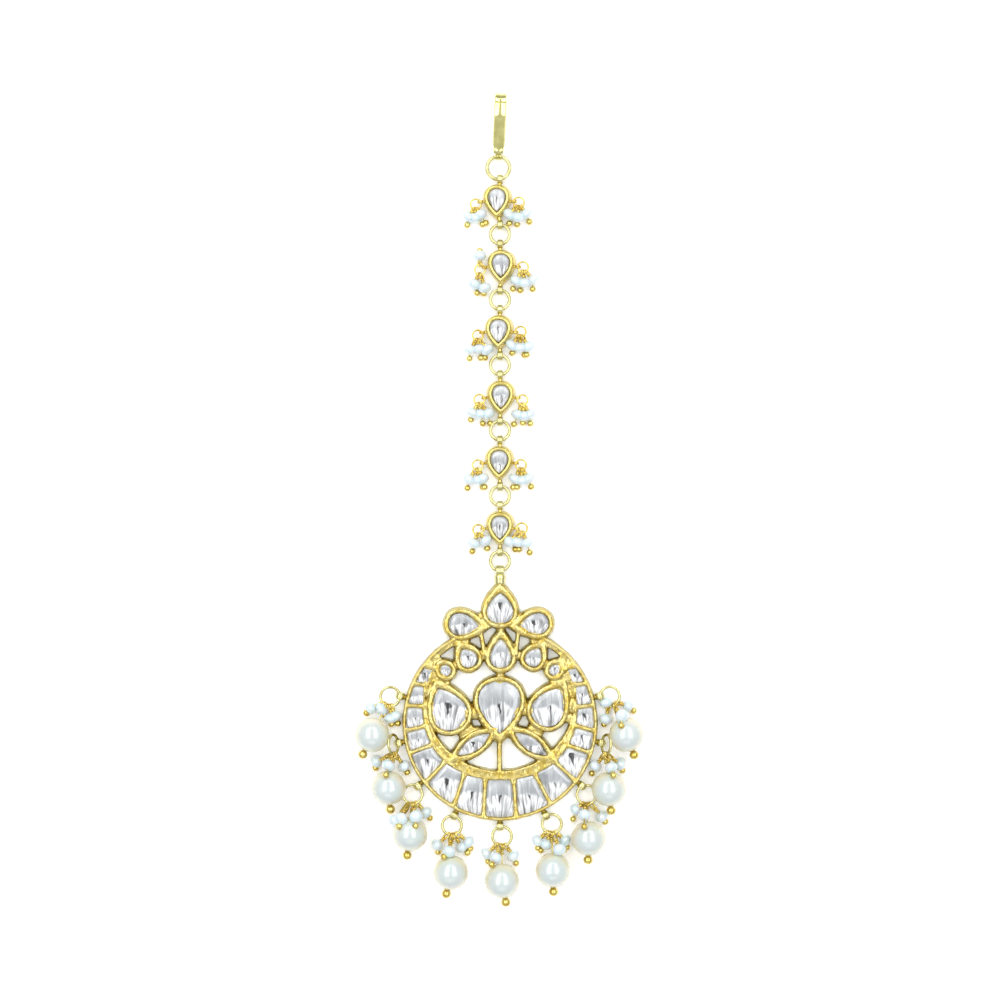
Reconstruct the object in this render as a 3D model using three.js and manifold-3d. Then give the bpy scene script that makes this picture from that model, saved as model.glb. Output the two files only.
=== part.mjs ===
// Maang tikka: a forehead jewel lying flat on its back.
// Lengths are millimetres, +Z points up from the surface and +Y towards the hook.
// Everything is placed from the middle of the pendant's disc.
import * as THREE from "three";
import { mergeVertices } from "three/addons/utils/BufferGeometryUtils.js";
import Module from "manifold-3d";

const wasm = await Module();
wasm.setup();

// Pendant
const PENDANT_RADIUS = 17.6;
const FRAME_HEIGHT = 2.3;
const RIM_WALL = 0.75;
const FOIL_FLOOR = 0.8;
const FOIL_THICKNESS = 0.35;
const DIVIDER_WIDTH = 0.62;
const SETTING_WALL = 1.06;
const JOINT_WIDTH = 1.5;
const STEM_WIDTH = 0.95;

// Stones
const SEAT_GAP = 0.08;
const STONE_FLOOR = 1.0;
const STONE_RISE = 0.22;
const CROWN_HEIGHT = 0.5;
const TABLE_SHARE = 0.7;
const CULET_SHARE = 0.8;

// Chain units
const UNIT_LENGTH = 6.05;
const UNIT_WIDTH = 4.8;
const UNIT_HEIGHT = 2.1;
const UNIT_WALL = 0.78;

// Rings, eyes and wires
const RING_HEIGHT = 1.15;
const CHAIN_RING_RADIUS = 1.72;
const CHAIN_RING_WIRE = 0.6;
const HOOK_RING_RADIUS = 1.95;
const HOOK_RING_WIRE = 0.68;
const DROP_RING_RADIUS = 1.74;
const DROP_RING_WIRE = 0.56;
const SIDE_RING_RADIUS = 0.95;
const SIDE_RING_WIRE = 0.38;
const RUNNING_GAP = 0.13;
const EYE_REACH = 1.15;
const EYE_WALL = 0.34;
const EYE_WIDTH = 0.95;
const EYE_NECK = 0.8;
const SIDE_EYE_REACH = 0.85;
const SIDE_EYE_WIDTH = 0.5;
const SIDE_EYE_SHARE = 0.45;
const PIN_WIRE = 0.3;

// Bail
const BAIL_WIDTH = 2.0;
const BAIL_WALL = 0.36;
const BAIL_REACH = 1.95;

// Pearls and seed pearls
const PEARL_DIAMETER = 6.1;
const PEARL_REACH = 7.8;
const BALL_DIAMETER = 1.6;
const SEED_WIDTH = 2.15;
const SEED_THICKNESS = 1.85;
const SEED_REACH = 4.1;
const SIDE_SEED_REACH = 2.75;
const CLEAR_TURN = 19;

// Hook
const HOOK_LENGTH = 10.8;
const HOOK_LEAN = -2.4;
const HOOK_ASIDE = 0.3;
const HOOK_WIDTH = 2.1;
const HOOK_THICKNESS = 0.6;
const HOOK_OPENING = 2.3;
const HOOK_RETURN = 6.6;
const HOOK_EYE_WIDTH = 1.4;

// Fineness of round forms
const RING_STEPS = 12;
const SMALL_RING_STEPS = 10;
const EYE_STEPS = 8;
const WIRE_SIDES = 5;
const PIN_SIDES = 3;
const BEAD_SIDES = 10;
const PEARL_SIDES = 12;
const DISC_STEPS = 42;
const SETTING_STEPS = 12;
const STONE_STEPS = 10;

// The lotus stones: middle, length and width as shares of the pendant's radius. point is the way the
// tip looks in degrees from +X, tip and heel say how sharp each end is, from 0 for round to 1.
const LOTUS = [
  { name: "stone_top_petal", x: 0.001, y: 1.177, long: 0.307, wide: 0.272, point: 90, tip: 0.75, heel: 0 },
  { name: "stone_petal_left", x: -0.368, y: 1.011, long: 0.312, wide: 0.222, point: -6, tip: 0.8, heel: 0 },
  { name: "stone_petal_right", x: 0.352, y: 1.02, long: 0.298, wide: 0.21, point: 186, tip: 0.8, heel: 0 },
  { name: "stone_row_centre", x: 0.003, y: 0.716, long: 0.297, wide: 0.215, point: 90, tip: 0.85, heel: 0 },
  { name: "stone_row_left", x: -0.328, y: 0.676, long: 0.2, wide: 0.178, point: 122, tip: 0.45, heel: 0 },
  { name: "stone_row_right", x: 0.343, y: 0.684, long: 0.198, wide: 0.166, point: 58, tip: 0.6, heel: 0 },
  { name: "stone_tiny_left", x: -0.556, y: 0.546, long: 0.12, wide: 0.108, point: 135, tip: 0.2, heel: 0 },
  { name: "stone_tiny_right", x: 0.558, y: 0.551, long: 0.12, wide: 0.098, point: 45, tip: 0.3, heel: 0 },
  { name: "stone_main_centre", x: -0.005, y: 0.167, long: 0.528, wide: 0.43, point: 270, tip: 0.85, heel: 0 },
  { name: "stone_main_left", x: -0.526, y: 0.147, long: 0.445, wide: 0.345, point: 114, tip: 0.75, heel: 0 },
  { name: "stone_main_right", x: 0.503, y: 0.178, long: 0.432, wide: 0.318, point: 60, tip: 0.8, heel: 0 },
  { name: "stone_slim_left", x: -0.268, y: -0.215, long: 0.388, wide: 0.132, point: 34, tip: 1, heel: 1 },
  { name: "stone_slim_right", x: 0.313, y: -0.209, long: 0.392, wide: 0.132, point: -35, tip: 1, heel: 1 },
];
// How far a setting's point stands out beyond the stone's, in walls.
const TIP_WALLS = 1.3;

// Settings that are soldered to each other.
const SOLDERED = [
  ["stone_top_petal", "stone_petal_left"],
  ["stone_top_petal", "stone_petal_right"],
  ["stone_top_petal", "stone_row_centre"],
  ["stone_petal_left", "stone_row_left"],
  ["stone_petal_right", "stone_row_right"],
  ["stone_row_left", "stone_row_centre"],
  ["stone_row_right", "stone_row_centre"],
  ["stone_row_centre", "stone_main_centre"],
  ["stone_row_left", "stone_tiny_left"],
  ["stone_row_right", "stone_tiny_right"],
  ["stone_tiny_left", "stone_main_left"],
  ["stone_tiny_right", "stone_main_right"],
  ["stone_main_left", "stone_main_centre"],
  ["stone_main_right", "stone_main_centre"],
];
// Thin ribs beside the small row, from end to end, as shares of the pendant's radius.
const RIBS = [
  { fromX: -0.204, fromY: 0.976, toX: -0.158, toY: 0.7 },
  { fromX: 0.189, fromY: 0.976, toX: 0.164, toY: 0.7 },
];

// The crescent: dividers in degrees from straight down, alike on both sides, and the circles that
// bound it, as shares of the pendant's radius.
const DIVIDERS = [11.4, 32.2, 54, 71, 87, 101.5, 117, 131];
const FIELD = { y: 0.262, radius: 0.727 };
const POCKETS = { y: 0.175, radius: 0.783 };
// The rim ends on both sides of the petals, in degrees from straight up.
const RIM_MOUTH = 31;

// The nine drops from the left round to the right. lean is the way the ring lies out from its eye and
// hang the way the drop falls from the ring, both in degrees from +X. stand tips the ring up from the
// surface, reach is the pearl's distance as a share of PEARL_REACH. ball and bunches are turns from
// straight down: a bunch of seed pearls runs from its first turn to its last.
const DROP_STEP = 26.3;
const DROPS = [
  { lean: 186, hang: 245, stand: 0, reach: 0.94, ball: -26, bunches: [[-62, -44], [12, 12]] },
  { lean: 186, hang: 261, stand: 64, reach: 1, ball: 5, bunches: [[-44, -28], [24, 24]] },
  { lean: 240, hang: 267, stand: 0, reach: 0.9, ball: -8, bunches: [[-36, -20], [22, 38]] },
  { lean: 258, hang: 269, stand: 0, reach: 1.04, ball: -12, bunches: [[-38, -20], [23, 45]] },
  { lean: 282, hang: 270, stand: 0, reach: 0.98, ball: 10, bunches: [[-41, -20], [28, 28]] },
  { lean: 306, hang: 271, stand: 0, reach: 1.02, ball: 2, bunches: [[-41, -20], [20, 39]] },
  { lean: 294, hang: 272, stand: 0, reach: 0.96, ball: -1, bunches: [[-36, -20], [27, 27]] },
  { lean: -6, hang: 275, stand: 66, reach: 1.02, ball: 6, bunches: [[-22, -22], [14, 20]] },
  { lean: -4, hang: 293, stand: 0, reach: 0.93, ball: 21, bunches: [[-11, -11], [42, 60]] },
];

// The six units from the hook down. roll tips a unit about the chain, shift moves it aside as a share
// of its width, lean is the way each side ring lies, and the bunches of seed pearls run from turn to
// turn as they do on the drops.
const UNITS = [
  { roll: -5, shift: -0.09, leanLeft: 208, leanRight: -11, left: [[-31, 25]], right: [[-38, 36]] },
  { roll: -6, shift: 0.07, leanLeft: 209, leanRight: -4, left: [[180, 180], [-22, 14]], right: [[-28, 41]] },
  { roll: -6, shift: -0.02, leanLeft: 213, leanRight: 6, left: [[-28, 34]], right: [[-35, 28]] },
  { roll: -1, shift: 0.04, leanLeft: 200, leanRight: -25, left: [[-29, 33]], right: [[-20, 28]] },
  { roll: -2, shift: -0.02, leanLeft: 202, leanRight: -18, left: [[-33, 20]], right: [[-24, 29]] },
  { roll: -2, shift: 0.01, leanLeft: 194, leanRight: 4, left: [[-26, 34]], right: [[-36, 20]] },
];

const GOLD = { color: 0xd9b64a, roughness: 0.3, metalness: 1 };
const STRIP_GOLD = { color: 0xc9bf74, roughness: 0.4, metalness: 1 };
const STONE = { color: 0xdfe3e8, roughness: 0.08, metalness: 0 };
const PEARL = { color: 0xf0eadb, roughness: 0.22, metalness: 0 };
const SEED = { color: 0xe3ecf2, roughness: 0.3, metalness: 0 };

function radians(degrees) {
  return THREE.MathUtils.degToRad(degrees);
}

function towards(degrees) {
  return new THREE.Vector3(Math.cos(radians(degrees)), Math.sin(radians(degrees)), 0);
}

// Solids from geometries and back

function solidOf(geometry) {
  const bare = geometry.clone();
  bare.deleteAttribute("normal");
  bare.deleteAttribute("uv");
  const merged = mergeVertices(bare, 1e-4);
  const vertProperties = Float32Array.from(merged.attributes.position.array);
  const triVerts = Uint32Array.from(merged.index.array);
  return new wasm.Manifold(new wasm.Mesh({ numProp: 3, vertProperties, triVerts }));
}

function joined(geometries) {
  const solids = geometries.map(solidOf);
  return solids.reduce((sum, solid) => sum.add(solid));
}

function without(solid, geometries) {
  return geometries.reduce((rest, geometry) => rest.subtract(solidOf(geometry)), solid);
}

function meshOf(name, solid, finish) {
  const data = solid.getMesh();
  const geometry = new THREE.BufferGeometry();
  geometry.setAttribute("position", new THREE.BufferAttribute(data.vertProperties, 3));
  geometry.setIndex(new THREE.BufferAttribute(data.triVerts, 1));
  geometry.computeVertexNormals();
  const mesh = new THREE.Mesh(geometry, new THREE.MeshStandardMaterial(finish));
  mesh.name = name;
  return mesh;
}

// Shared forms

function prism(points, low, high) {
  const geometry = new THREE.ExtrudeGeometry(new THREE.Shape(points), {
    depth: high - low,
    bevelEnabled: false,
  });
  return geometry.translate(0, 0, low);
}

function circlePoints(centreY, radius, steps) {
  const points = [];
  for (let i = 0; i < steps; i += 1) {
    const turn = (i / steps) * 2 * Math.PI;
    points.push(new THREE.Vector2(radius * Math.cos(turn), centreY + radius * Math.sin(turn)));
  }
  return points;
}

function petalWidth(turn, tip, heel) {
  return Math.sin(turn) * Math.sin(turn / 2) ** tip * Math.abs(Math.cos(turn / 2)) ** heel;
}

// A drop, oval or slim leaf outline, its point turned to the given direction.
function petalPoints(row, long, wide, steps) {
  const widest = Math.max(...Array.from({ length: 90 }, (_, i) => petalWidth(radians(2 * i), row.tip, row.heel)));
  const aim = radians(row.point - 90);
  const points = [];
  for (let i = 0; i < steps; i += 1) {
    const turn = (i / steps) * 2 * Math.PI;
    const side = Math.sign(Math.sin(turn)) * Math.abs(petalWidth(turn, row.tip, row.heel));
    const point = new THREE.Vector2(-(side / widest) * (wide / 2), Math.cos(turn) * (long / 2));
    points.push(point.rotateAround(new THREE.Vector2(), aim));
  }
  return points;
}

function shifted(points, x, y) {
  return points.map((point) => new THREE.Vector2(point.x + x, point.y + y));
}

// A flat-cut stone: a girdle with a smaller table above and a smaller flat below.
function cutStone(points, floor, top) {
  const layers = [
    { z: floor, share: CULET_SHARE },
    { z: floor + CROWN_HEIGHT, share: 1 },
    { z: top - CROWN_HEIGHT, share: 1 },
    { z: top, share: TABLE_SHARE },
  ];
  const steps = layers.length - 1;
  const centre = points.reduce((sum, point) => sum.add(point), new THREE.Vector2());
  centre.divideScalar(points.length);
  const geometry = new THREE.ExtrudeGeometry(new THREE.Shape(points), { depth: steps, steps, bevelEnabled: false });
  const places = geometry.attributes.position;
  for (let i = 0; i < places.count; i += 1) {
    const layer = layers[Math.round(places.getZ(i))];
    const x = THREE.MathUtils.lerp(centre.x, places.getX(i), layer.share);
    const y = THREE.MathUtils.lerp(centre.y, places.getY(i), layer.share);
    places.setXYZ(i, x, y, layer.z);
  }
  return geometry;
}

function wireRing(radius, wire, steps = RING_STEPS) {
  return new THREE.TorusGeometry(radius, wire / 2, WIRE_SIDES, steps);
}

function aimed(geometry, direction) {
  const turn = new THREE.Quaternion().setFromUnitVectors(new THREE.Vector3(0, 1, 0), direction);
  return geometry.applyQuaternion(turn);
}

// Turns a ring that lies flat until its axis looks the given way.
function facing(geometry, direction) {
  const turn = new THREE.Quaternion().setFromUnitVectors(new THREE.Vector3(0, 0, 1), direction);
  return geometry.applyQuaternion(turn);
}

function pinBetween(from, to, wire) {
  const along = new THREE.Vector3().subVectors(to, from);
  const geometry = new THREE.CylinderGeometry(wire / 2, wire / 2, along.length(), PIN_SIDES);
  const middle = new THREE.Vector3().addVectors(from, to).multiplyScalar(0.5);
  return aimed(geometry, along.clone().normalize()).translate(middle.x, middle.y, middle.z);
}

function bead(diameter, thickness, sides, layers, direction, place) {
  const geometry = new THREE.SphereGeometry(diameter / 2, sides, layers);
  geometry.scale(1, thickness / diameter, 1);
  return aimed(geometry, direction).translate(place.x, place.y, place.z);
}

// An eye: a tab that stands out from an edge, with a hole for a ring. The hole's axis lies flat,
// across the way the tab looks.
function eye(reach, root, clear, wall, width, neck) {
  const hole = clear / Math.cos(Math.PI / EYE_STEPS);
  const outer = hole + wall;
  const half = Math.min(neck / 2, outer * 0.9);
  const meet = Math.asin(half / outer);
  const shape = new THREE.Shape();
  shape.moveTo(-root, -half);
  shape.lineTo(reach - outer * Math.cos(meet), -half);
  shape.absarc(reach, 0, outer, -(Math.PI - meet), Math.PI - meet, false);
  shape.lineTo(-root, half);
  const opening = new THREE.Path();
  opening.absarc(reach, 0, hole, 0, 2 * Math.PI, true);
  shape.holes.push(opening);
  const geometry = new THREE.ExtrudeGeometry(shape, { depth: width, bevelEnabled: false, curveSegments: EYE_STEPS / 2 });
  return geometry.translate(0, 0, -width / 2).rotateX(Math.PI / 2);
}

// Half the hole that a ring's wire needs in an eye of the given width, when it passes at a slant.
function eyeHole(radius, wire, width, slant = 0) {
  const bow = (width / 2) ** 2 / (2 * radius);
  const swerve = (width / 2) * Math.tan(radians(Math.abs(slant)));
  return wire / 2 + bow + swerve + RUNNING_GAP;
}

function placedEye(geometry, x, y, degrees, z = RING_HEIGHT) {
  return geometry.rotateZ(radians(degrees)).translate(x, y, z);
}

// Pendant

// Where a ray at this turn from straight down meets a circle set off along Y.
function rayTo(circle, turn) {
  const fall = circle.y * Math.cos(turn);
  return -fall + Math.sqrt(circle.radius ** 2 - (circle.y * Math.sin(turn)) ** 2);
}

function cellPoint(turn, distance) {
  return new THREE.Vector2(distance * Math.sin(turn), -distance * Math.cos(turn));
}

// One cell of the crescent between two dividers, drawn in by a margin.
function cellPoints(from, to, margin) {
  const start = radians(from);
  const end = radians(to);
  const outer = PENDANT_RADIUS - RIM_WALL - margin;
  const points = [];
  const inset = DIVIDER_WIDTH / 2 + margin;
  for (const share of [0, 0.5, 1]) {
    const side = inset / outer;
    points.push(cellPoint(THREE.MathUtils.lerp(start + side, end - side, share), outer));
  }
  for (const share of [1, 0.5, 0]) {
    const middle = THREE.MathUtils.lerp(start, end, share);
    const distance = rayTo(POCKETS, middle) * PENDANT_RADIUS + margin;
    const side = inset / distance;
    points.push(cellPoint(THREE.MathUtils.lerp(start + side, end - side, share), distance));
  }
  return points;
}

function mirrored(points) {
  return points.map((point) => new THREE.Vector2(-point.x, point.y)).reverse();
}

function crescentCells(margin) {
  const cells = [cellPoints(-DIVIDERS[0], DIVIDERS[0], margin)];
  for (let i = 1; i < DIVIDERS.length; i += 1) {
    const cell = cellPoints(DIVIDERS[i - 1], DIVIDERS[i], margin);
    cells.push(cell);
    cells.push(mirrored(cell));
  }
  return cells;
}

// The band under the dividers that the foil fills.
function foilBand(margin) {
  const last = radians(DIVIDERS[DIVIDERS.length - 1]) - (DIVIDER_WIDTH / 2 + margin) / PENDANT_RADIUS;
  const steps = 16;
  const points = [];
  for (let i = 0; i <= steps; i += 1) {
    const turn = THREE.MathUtils.lerp(-last, last, i / steps);
    points.push(cellPoint(turn, PENDANT_RADIUS - RIM_WALL - margin));
  }
  for (let i = steps; i >= 0; i -= 1) {
    const turn = THREE.MathUtils.lerp(-last, last, i / steps);
    points.push(cellPoint(turn, rayTo(POCKETS, turn) * PENDANT_RADIUS + margin));
  }
  return points;
}

function settingPoints(row) {
  const long = row.long * PENDANT_RADIUS + SETTING_WALL * (2 + TIP_WALLS * (row.tip + row.heel));
  const wide = row.wide * PENDANT_RADIUS + 2 * SETTING_WALL;
  const points = petalPoints(row, long, wide, SETTING_STEPS);
  const slide = towards(row.point).multiplyScalar((SETTING_WALL * TIP_WALLS * (row.tip - row.heel)) / 2);
  return shifted(points, row.x * PENDANT_RADIUS + slide.x, row.y * PENDANT_RADIUS + slide.y);
}

function stonePoints(row, margin) {
  const long = row.long * PENDANT_RADIUS - 2 * margin;
  const wide = row.wide * PENDANT_RADIUS - 2 * margin;
  return shifted(petalPoints(row, long, wide, STONE_STEPS), row.x * PENDANT_RADIUS, row.y * PENDANT_RADIUS);
}

function mouthPoints() {
  const far = 2 * PENDANT_RADIUS;
  const half = radians(RIM_MOUTH);
  const low = 0.6 * PENDANT_RADIUS;
  return [
    new THREE.Vector2(low * Math.sin(half), low * Math.cos(half)),
    new THREE.Vector2(far * Math.sin(half), far * Math.cos(half)),
    new THREE.Vector2(-far * Math.sin(half), far * Math.cos(half)),
    new THREE.Vector2(-low * Math.sin(half), low * Math.cos(half)),
  ];
}

// A straight bar between two places given as shares of the pendant's radius.
function barPoints(fromX, fromY, toX, toY, width) {
  const from = new THREE.Vector2(fromX, fromY).multiplyScalar(PENDANT_RADIUS);
  const to = new THREE.Vector2(toX, toY).multiplyScalar(PENDANT_RADIUS);
  const along = new THREE.Vector2().subVectors(to, from).normalize();
  const side = new THREE.Vector2(-along.y, along.x).multiplyScalar(width / 2);
  return [from.clone().sub(side), to.clone().sub(side), to.clone().add(side), from.clone().add(side)];
}

function lotusRow(name) {
  return LOTUS.find((row) => row.name === name);
}

function stemPoints() {
  const centre = lotusRow("stone_main_centre");
  const bottom = FIELD.y - FIELD.radius - RIM_WALL / PENDANT_RADIUS;
  return barPoints(centre.x, bottom, centre.x, centre.y - centre.long / 2, STEM_WIDTH);
}

function frameBars() {
  const joints = SOLDERED.map(([first, second]) => {
    const from = lotusRow(first);
    const to = lotusRow(second);
    return barPoints(from.x, from.y, to.x, to.y, JOINT_WIDTH);
  });
  const ribs = RIBS.map((row) => barPoints(row.fromX, row.fromY, row.toX, row.toY, STEM_WIDTH));
  return [stemPoints(), ...joints, ...ribs];
}

// The top of the uppermost setting, where the bail stands.
function petalTop() {
  return Math.max(...settingPoints(LOTUS[0]).map((point) => point.y));
}

function bail() {
  const hole = eyeHole(CHAIN_RING_RADIUS, CHAIN_RING_WIRE, BAIL_WIDTH);
  const geometry = eye(BAIL_REACH, 1.2, hole, BAIL_WALL, BAIL_WIDTH, 1.6);
  return placedEye(geometry, 0, petalTop(), 90);
}

function dropAngle(index) {
  return 270 + (index - (DROPS.length - 1) / 2) * DROP_STEP;
}

// The turn from a drop's eye to the way its ring lies, between -180 and 180 degrees.
function ringSlant(index) {
  return THREE.MathUtils.euclideanModulo(DROPS[index].lean - dropAngle(index) + 180, 360) - 180;
}

function rimEye(index) {
  const hole = eyeHole(DROP_RING_RADIUS, DROP_RING_WIRE, EYE_WIDTH, ringSlant(index));
  const geometry = eye(EYE_REACH, RIM_WALL * 0.6, hole, EYE_WALL, EYE_WIDTH, EYE_NECK);
  const place = towards(dropAngle(index)).multiplyScalar(PENDANT_RADIUS);
  return placedEye(geometry, place.x, place.y, dropAngle(index));
}

function pendantFrame() {
  const disc = joined([prism(circlePoints(0, PENDANT_RADIUS, DISC_STEPS), 0, FRAME_HEIGHT)]);
  const field = circlePoints(FIELD.y * PENDANT_RADIUS, FIELD.radius * PENDANT_RADIUS, DISC_STEPS);
  const rim = without(disc, [prism(field, -1, FRAME_HEIGHT + 1), prism(mouthPoints(), -1, FRAME_HEIGHT + 1)]);
  const walls = LOTUS.map((row) => prism(settingPoints(row), 0, FRAME_HEIGHT));
  const eyes = DROPS.map((_, index) => rimEye(index));
  const bars = frameBars().map((points) => prism(points, 0, FRAME_HEIGHT));
  const body = rim.add(joined([...walls, ...bars, ...eyes, bail()]));
  const pockets = LOTUS.map((row) => prism(stonePoints(row, -SEAT_GAP), STONE_FLOOR - SEAT_GAP, FRAME_HEIGHT + 1));
  const cells = crescentCells(0).map((points) => prism(points, FOIL_FLOOR, FRAME_HEIGHT + 1));
  const foil = prism(foilBand(0), FOIL_FLOOR, FOIL_FLOOR + FOIL_THICKNESS + 2 * SEAT_GAP);
  return meshOf("pendant_frame", without(body, [...pockets, ...cells, foil]), GOLD);
}

function lotusStone(row) {
  const stone = cutStone(stonePoints(row, 0), STONE_FLOOR, FRAME_HEIGHT + STONE_RISE);
  return meshOf(row.name, solidOf(stone), STONE);
}

function crescentStones() {
  const floor = FOIL_FLOOR + SEAT_GAP;
  const top = FRAME_HEIGHT + STONE_RISE / 2;
  const stones = crescentCells(SEAT_GAP).map((points) => cutStone(points, floor, top));
  const foil = prism(foilBand(SEAT_GAP), floor, floor + FOIL_THICKNESS);
  return meshOf("crescent_stones", joined([foil, ...stones]), STONE);
}

// Drops

// The ring that a drop hangs on: its middle, the frame it lies in and the point the drop falls from.
function dropRing(row, index) {
  const eyePlace = towards(dropAngle(index)).multiplyScalar(PENDANT_RADIUS + EYE_REACH);
  eyePlace.z = RING_HEIGHT;
  const flat = towards(row.lean);
  const out = flat.clone().multiplyScalar(Math.cos(radians(row.stand)));
  out.z = Math.sin(radians(row.stand));
  const across = new THREE.Vector3(0, 0, 1).cross(flat);
  const normal = new THREE.Vector3().crossVectors(out, across);
  const centre = eyePlace.clone().addScaledVector(out, DROP_RING_RADIUS);
  return { centre, normal };
}

function ringPoint(ring, direction) {
  const flat = direction.clone().addScaledVector(ring.normal, -direction.dot(ring.normal)).normalize();
  return ring.centre.clone().addScaledVector(flat, DROP_RING_RADIUS);
}

// A bunch of seed pearls between two turns from straight down, as one bead drawn out along its arc,
// on one wire from the ring.
function seedBunch(from, to, start, middle, reach) {
  const turn = (from + to) / 2;
  const way = towards(270 + turn);
  const place = middle.clone().addScaledVector(way, reach);
  place.z = SEED_WIDTH / 2;
  const spread = 2 * reach * Math.sin(radians(Math.abs(to - from) / 2));
  const body = new THREE.SphereGeometry(SEED_WIDTH / 2, BEAD_SIDES, 4);
  body.scale((SEED_WIDTH + spread) / SEED_WIDTH, SEED_THICKNESS / SEED_WIDTH, 1);
  body.rotateZ(radians(turn)).translate(place.x, place.y, place.z);
  return [pinBetween(start, place, PIN_WIRE), body];
}

function dropSeeds(row, index) {
  const ring = dropRing(row, index);
  const torus = wireRing(DROP_RING_RADIUS, DROP_RING_WIRE);
  facing(torus, ring.normal).translate(ring.centre.x, ring.centre.y, ring.centre.z);
  const hang = towards(row.hang);
  const foot = ringPoint(ring, hang);
  const middle = foot.clone().addScaledVector(hang, -DROP_RING_RADIUS);
  const pieces = [torus];
  for (const [from, to] of row.bunches) {
    const turn = (from + to) / 2;
    const off = 270 + turn - row.hang;
    const start = ringPoint(ring, towards(row.hang + Math.sign(off) * (CLEAR_TURN + Math.abs(off) / 3)));
    pieces.push(...seedBunch(from, to, start, middle, SEED_REACH));
  }
  return meshOf(`drop_${index + 1}_seeds`, joined(pieces), SEED);
}

function dropPearl(row, index) {
  const ring = dropRing(row, index);
  const hang = towards(row.hang);
  const foot = ringPoint(ring, hang);
  const inner = DROP_RING_WIRE / 2 + RUNNING_GAP;
  const loopRadius = inner + PIN_WIRE / 2;
  const radial = new THREE.Vector3().subVectors(foot, ring.centre).normalize();
  const wireWay = new THREE.Vector3().crossVectors(ring.normal, radial);
  const loop = wireRing(loopRadius, PIN_WIRE, SMALL_RING_STEPS);
  facing(loop, wireWay).translate(foot.x, foot.y, foot.z);
  const place = foot.clone().addScaledVector(hang, PEARL_REACH * row.reach - DROP_RING_RADIUS);
  place.z = PEARL_DIAMETER / 2;
  const start = foot.clone().addScaledVector(radial, loopRadius);
  const out = towards(270 + row.ball);
  const ball = place.clone().addScaledVector(out, (PEARL_DIAMETER + BALL_DIAMETER) / 2 - 0.15);
  const along = new THREE.Vector3().subVectors(place, start).normalize();
  const pieces = [
    loop,
    pinBetween(start, place, PIN_WIRE),
    bead(PEARL_DIAMETER, PEARL_DIAMETER, PEARL_SIDES, 6, along, place),
    bead(BALL_DIAMETER, BALL_DIAMETER, BEAD_SIDES, 4, out, ball),
  ];
  return meshOf(`drop_${index + 1}_pearl`, joined(pieces), PEARL);
}

// Chain

const unitEyeHole = eyeHole(CHAIN_RING_RADIUS, Math.max(CHAIN_RING_WIRE, HOOK_RING_WIRE), EYE_WIDTH);
const unitPitch = UNIT_LENGTH + 2 * EYE_REACH + 2 * CHAIN_RING_RADIUS;
const firstRing = petalTop() + BAIL_REACH + CHAIN_RING_RADIUS;

// Units are numbered from the hook down, so unit 0 is the farthest from the pendant.
function unitMiddle(index) {
  const below = UNITS.length - 1 - index;
  return firstRing + CHAIN_RING_RADIUS + EYE_REACH + UNIT_LENGTH / 2 + below * unitPitch;
}

function unitOutline(margin, steps) {
  const row = { point: 270, tip: 0.8, heel: 0 };
  return petalPoints(row, UNIT_LENGTH - 2 * margin, UNIT_WIDTH - 2 * margin, steps);
}

function sideEye(slant) {
  const hole = eyeHole(SIDE_RING_RADIUS, SIDE_RING_WIRE, SIDE_EYE_WIDTH, slant);
  return eye(SIDE_EYE_REACH, UNIT_WALL, hole, 0.2, SIDE_EYE_WIDTH, 0.5);
}

// The eyes at a unit's ends stand on the chain's line, whatever the unit's own roll and shift.
function endEye(row, sign) {
  const geometry = eye(EYE_REACH, UNIT_WALL, unitEyeHole, EYE_WALL, EYE_WIDTH, EYE_NECK);
  const z = RING_HEIGHT - unitLift(row);
  const x = -row.shift * UNIT_WIDTH - z * Math.sin(radians(row.roll));
  return placedEye(geometry, x, (sign * UNIT_LENGTH) / 2, sign * 90, z);
}

function unitSetting(index) {
  const row = UNITS[index];
  const side = UNIT_WIDTH * SIDE_EYE_SHARE;
  const walls = joined([
    prism(unitOutline(0, SETTING_STEPS), 0, UNIT_HEIGHT),
    endEye(row, 1),
    endEye(row, -1),
    placedEye(sideEye(row.leanRight), side, 0, 0),
    placedEye(sideEye(row.leanLeft - 180), -side, 0, 180),
  ]);
  const pocket = prism(unitOutline(UNIT_WALL, STONE_STEPS), UNIT_HEIGHT - CROWN_HEIGHT, UNIT_HEIGHT + 1);
  const floor = UNIT_HEIGHT - 2.4 * CROWN_HEIGHT;
  const stone = cutStone(unitOutline(UNIT_WALL, STONE_STEPS), floor, UNIT_HEIGHT + STONE_RISE / 2);
  const solid = without(walls, [pocket]).add(solidOf(stone));
  const mesh = meshOf(`unit_${index + 1}`, solid, GOLD);
  mesh.position.set(row.shift * UNIT_WIDTH, unitMiddle(index), unitLift(row));
  mesh.rotation.y = radians(row.roll);
  return mesh;
}

function unitLift(row) {
  return Math.abs(Math.sin(radians(row.roll))) * (UNIT_WIDTH / 2);
}

function chainRing(index) {
  const first = index === 0;
  const radius = first ? HOOK_RING_RADIUS : CHAIN_RING_RADIUS;
  const wire = first ? HOOK_RING_WIRE : CHAIN_RING_WIRE;
  const mesh = meshOf(`chain_ring_${index}`, solidOf(wireRing(radius, wire)), GOLD);
  const x = first ? -HOOK_ASIDE : 0;
  const y = first ? hookRingMiddle() : firstRing + (UNITS.length - index) * unitPitch;
  mesh.position.set(x, y, RING_HEIGHT);
  return mesh;
}

function hookRingMiddle() {
  return unitMiddle(0) + UNIT_LENGTH / 2 + EYE_REACH + HOOK_RING_RADIUS;
}

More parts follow.
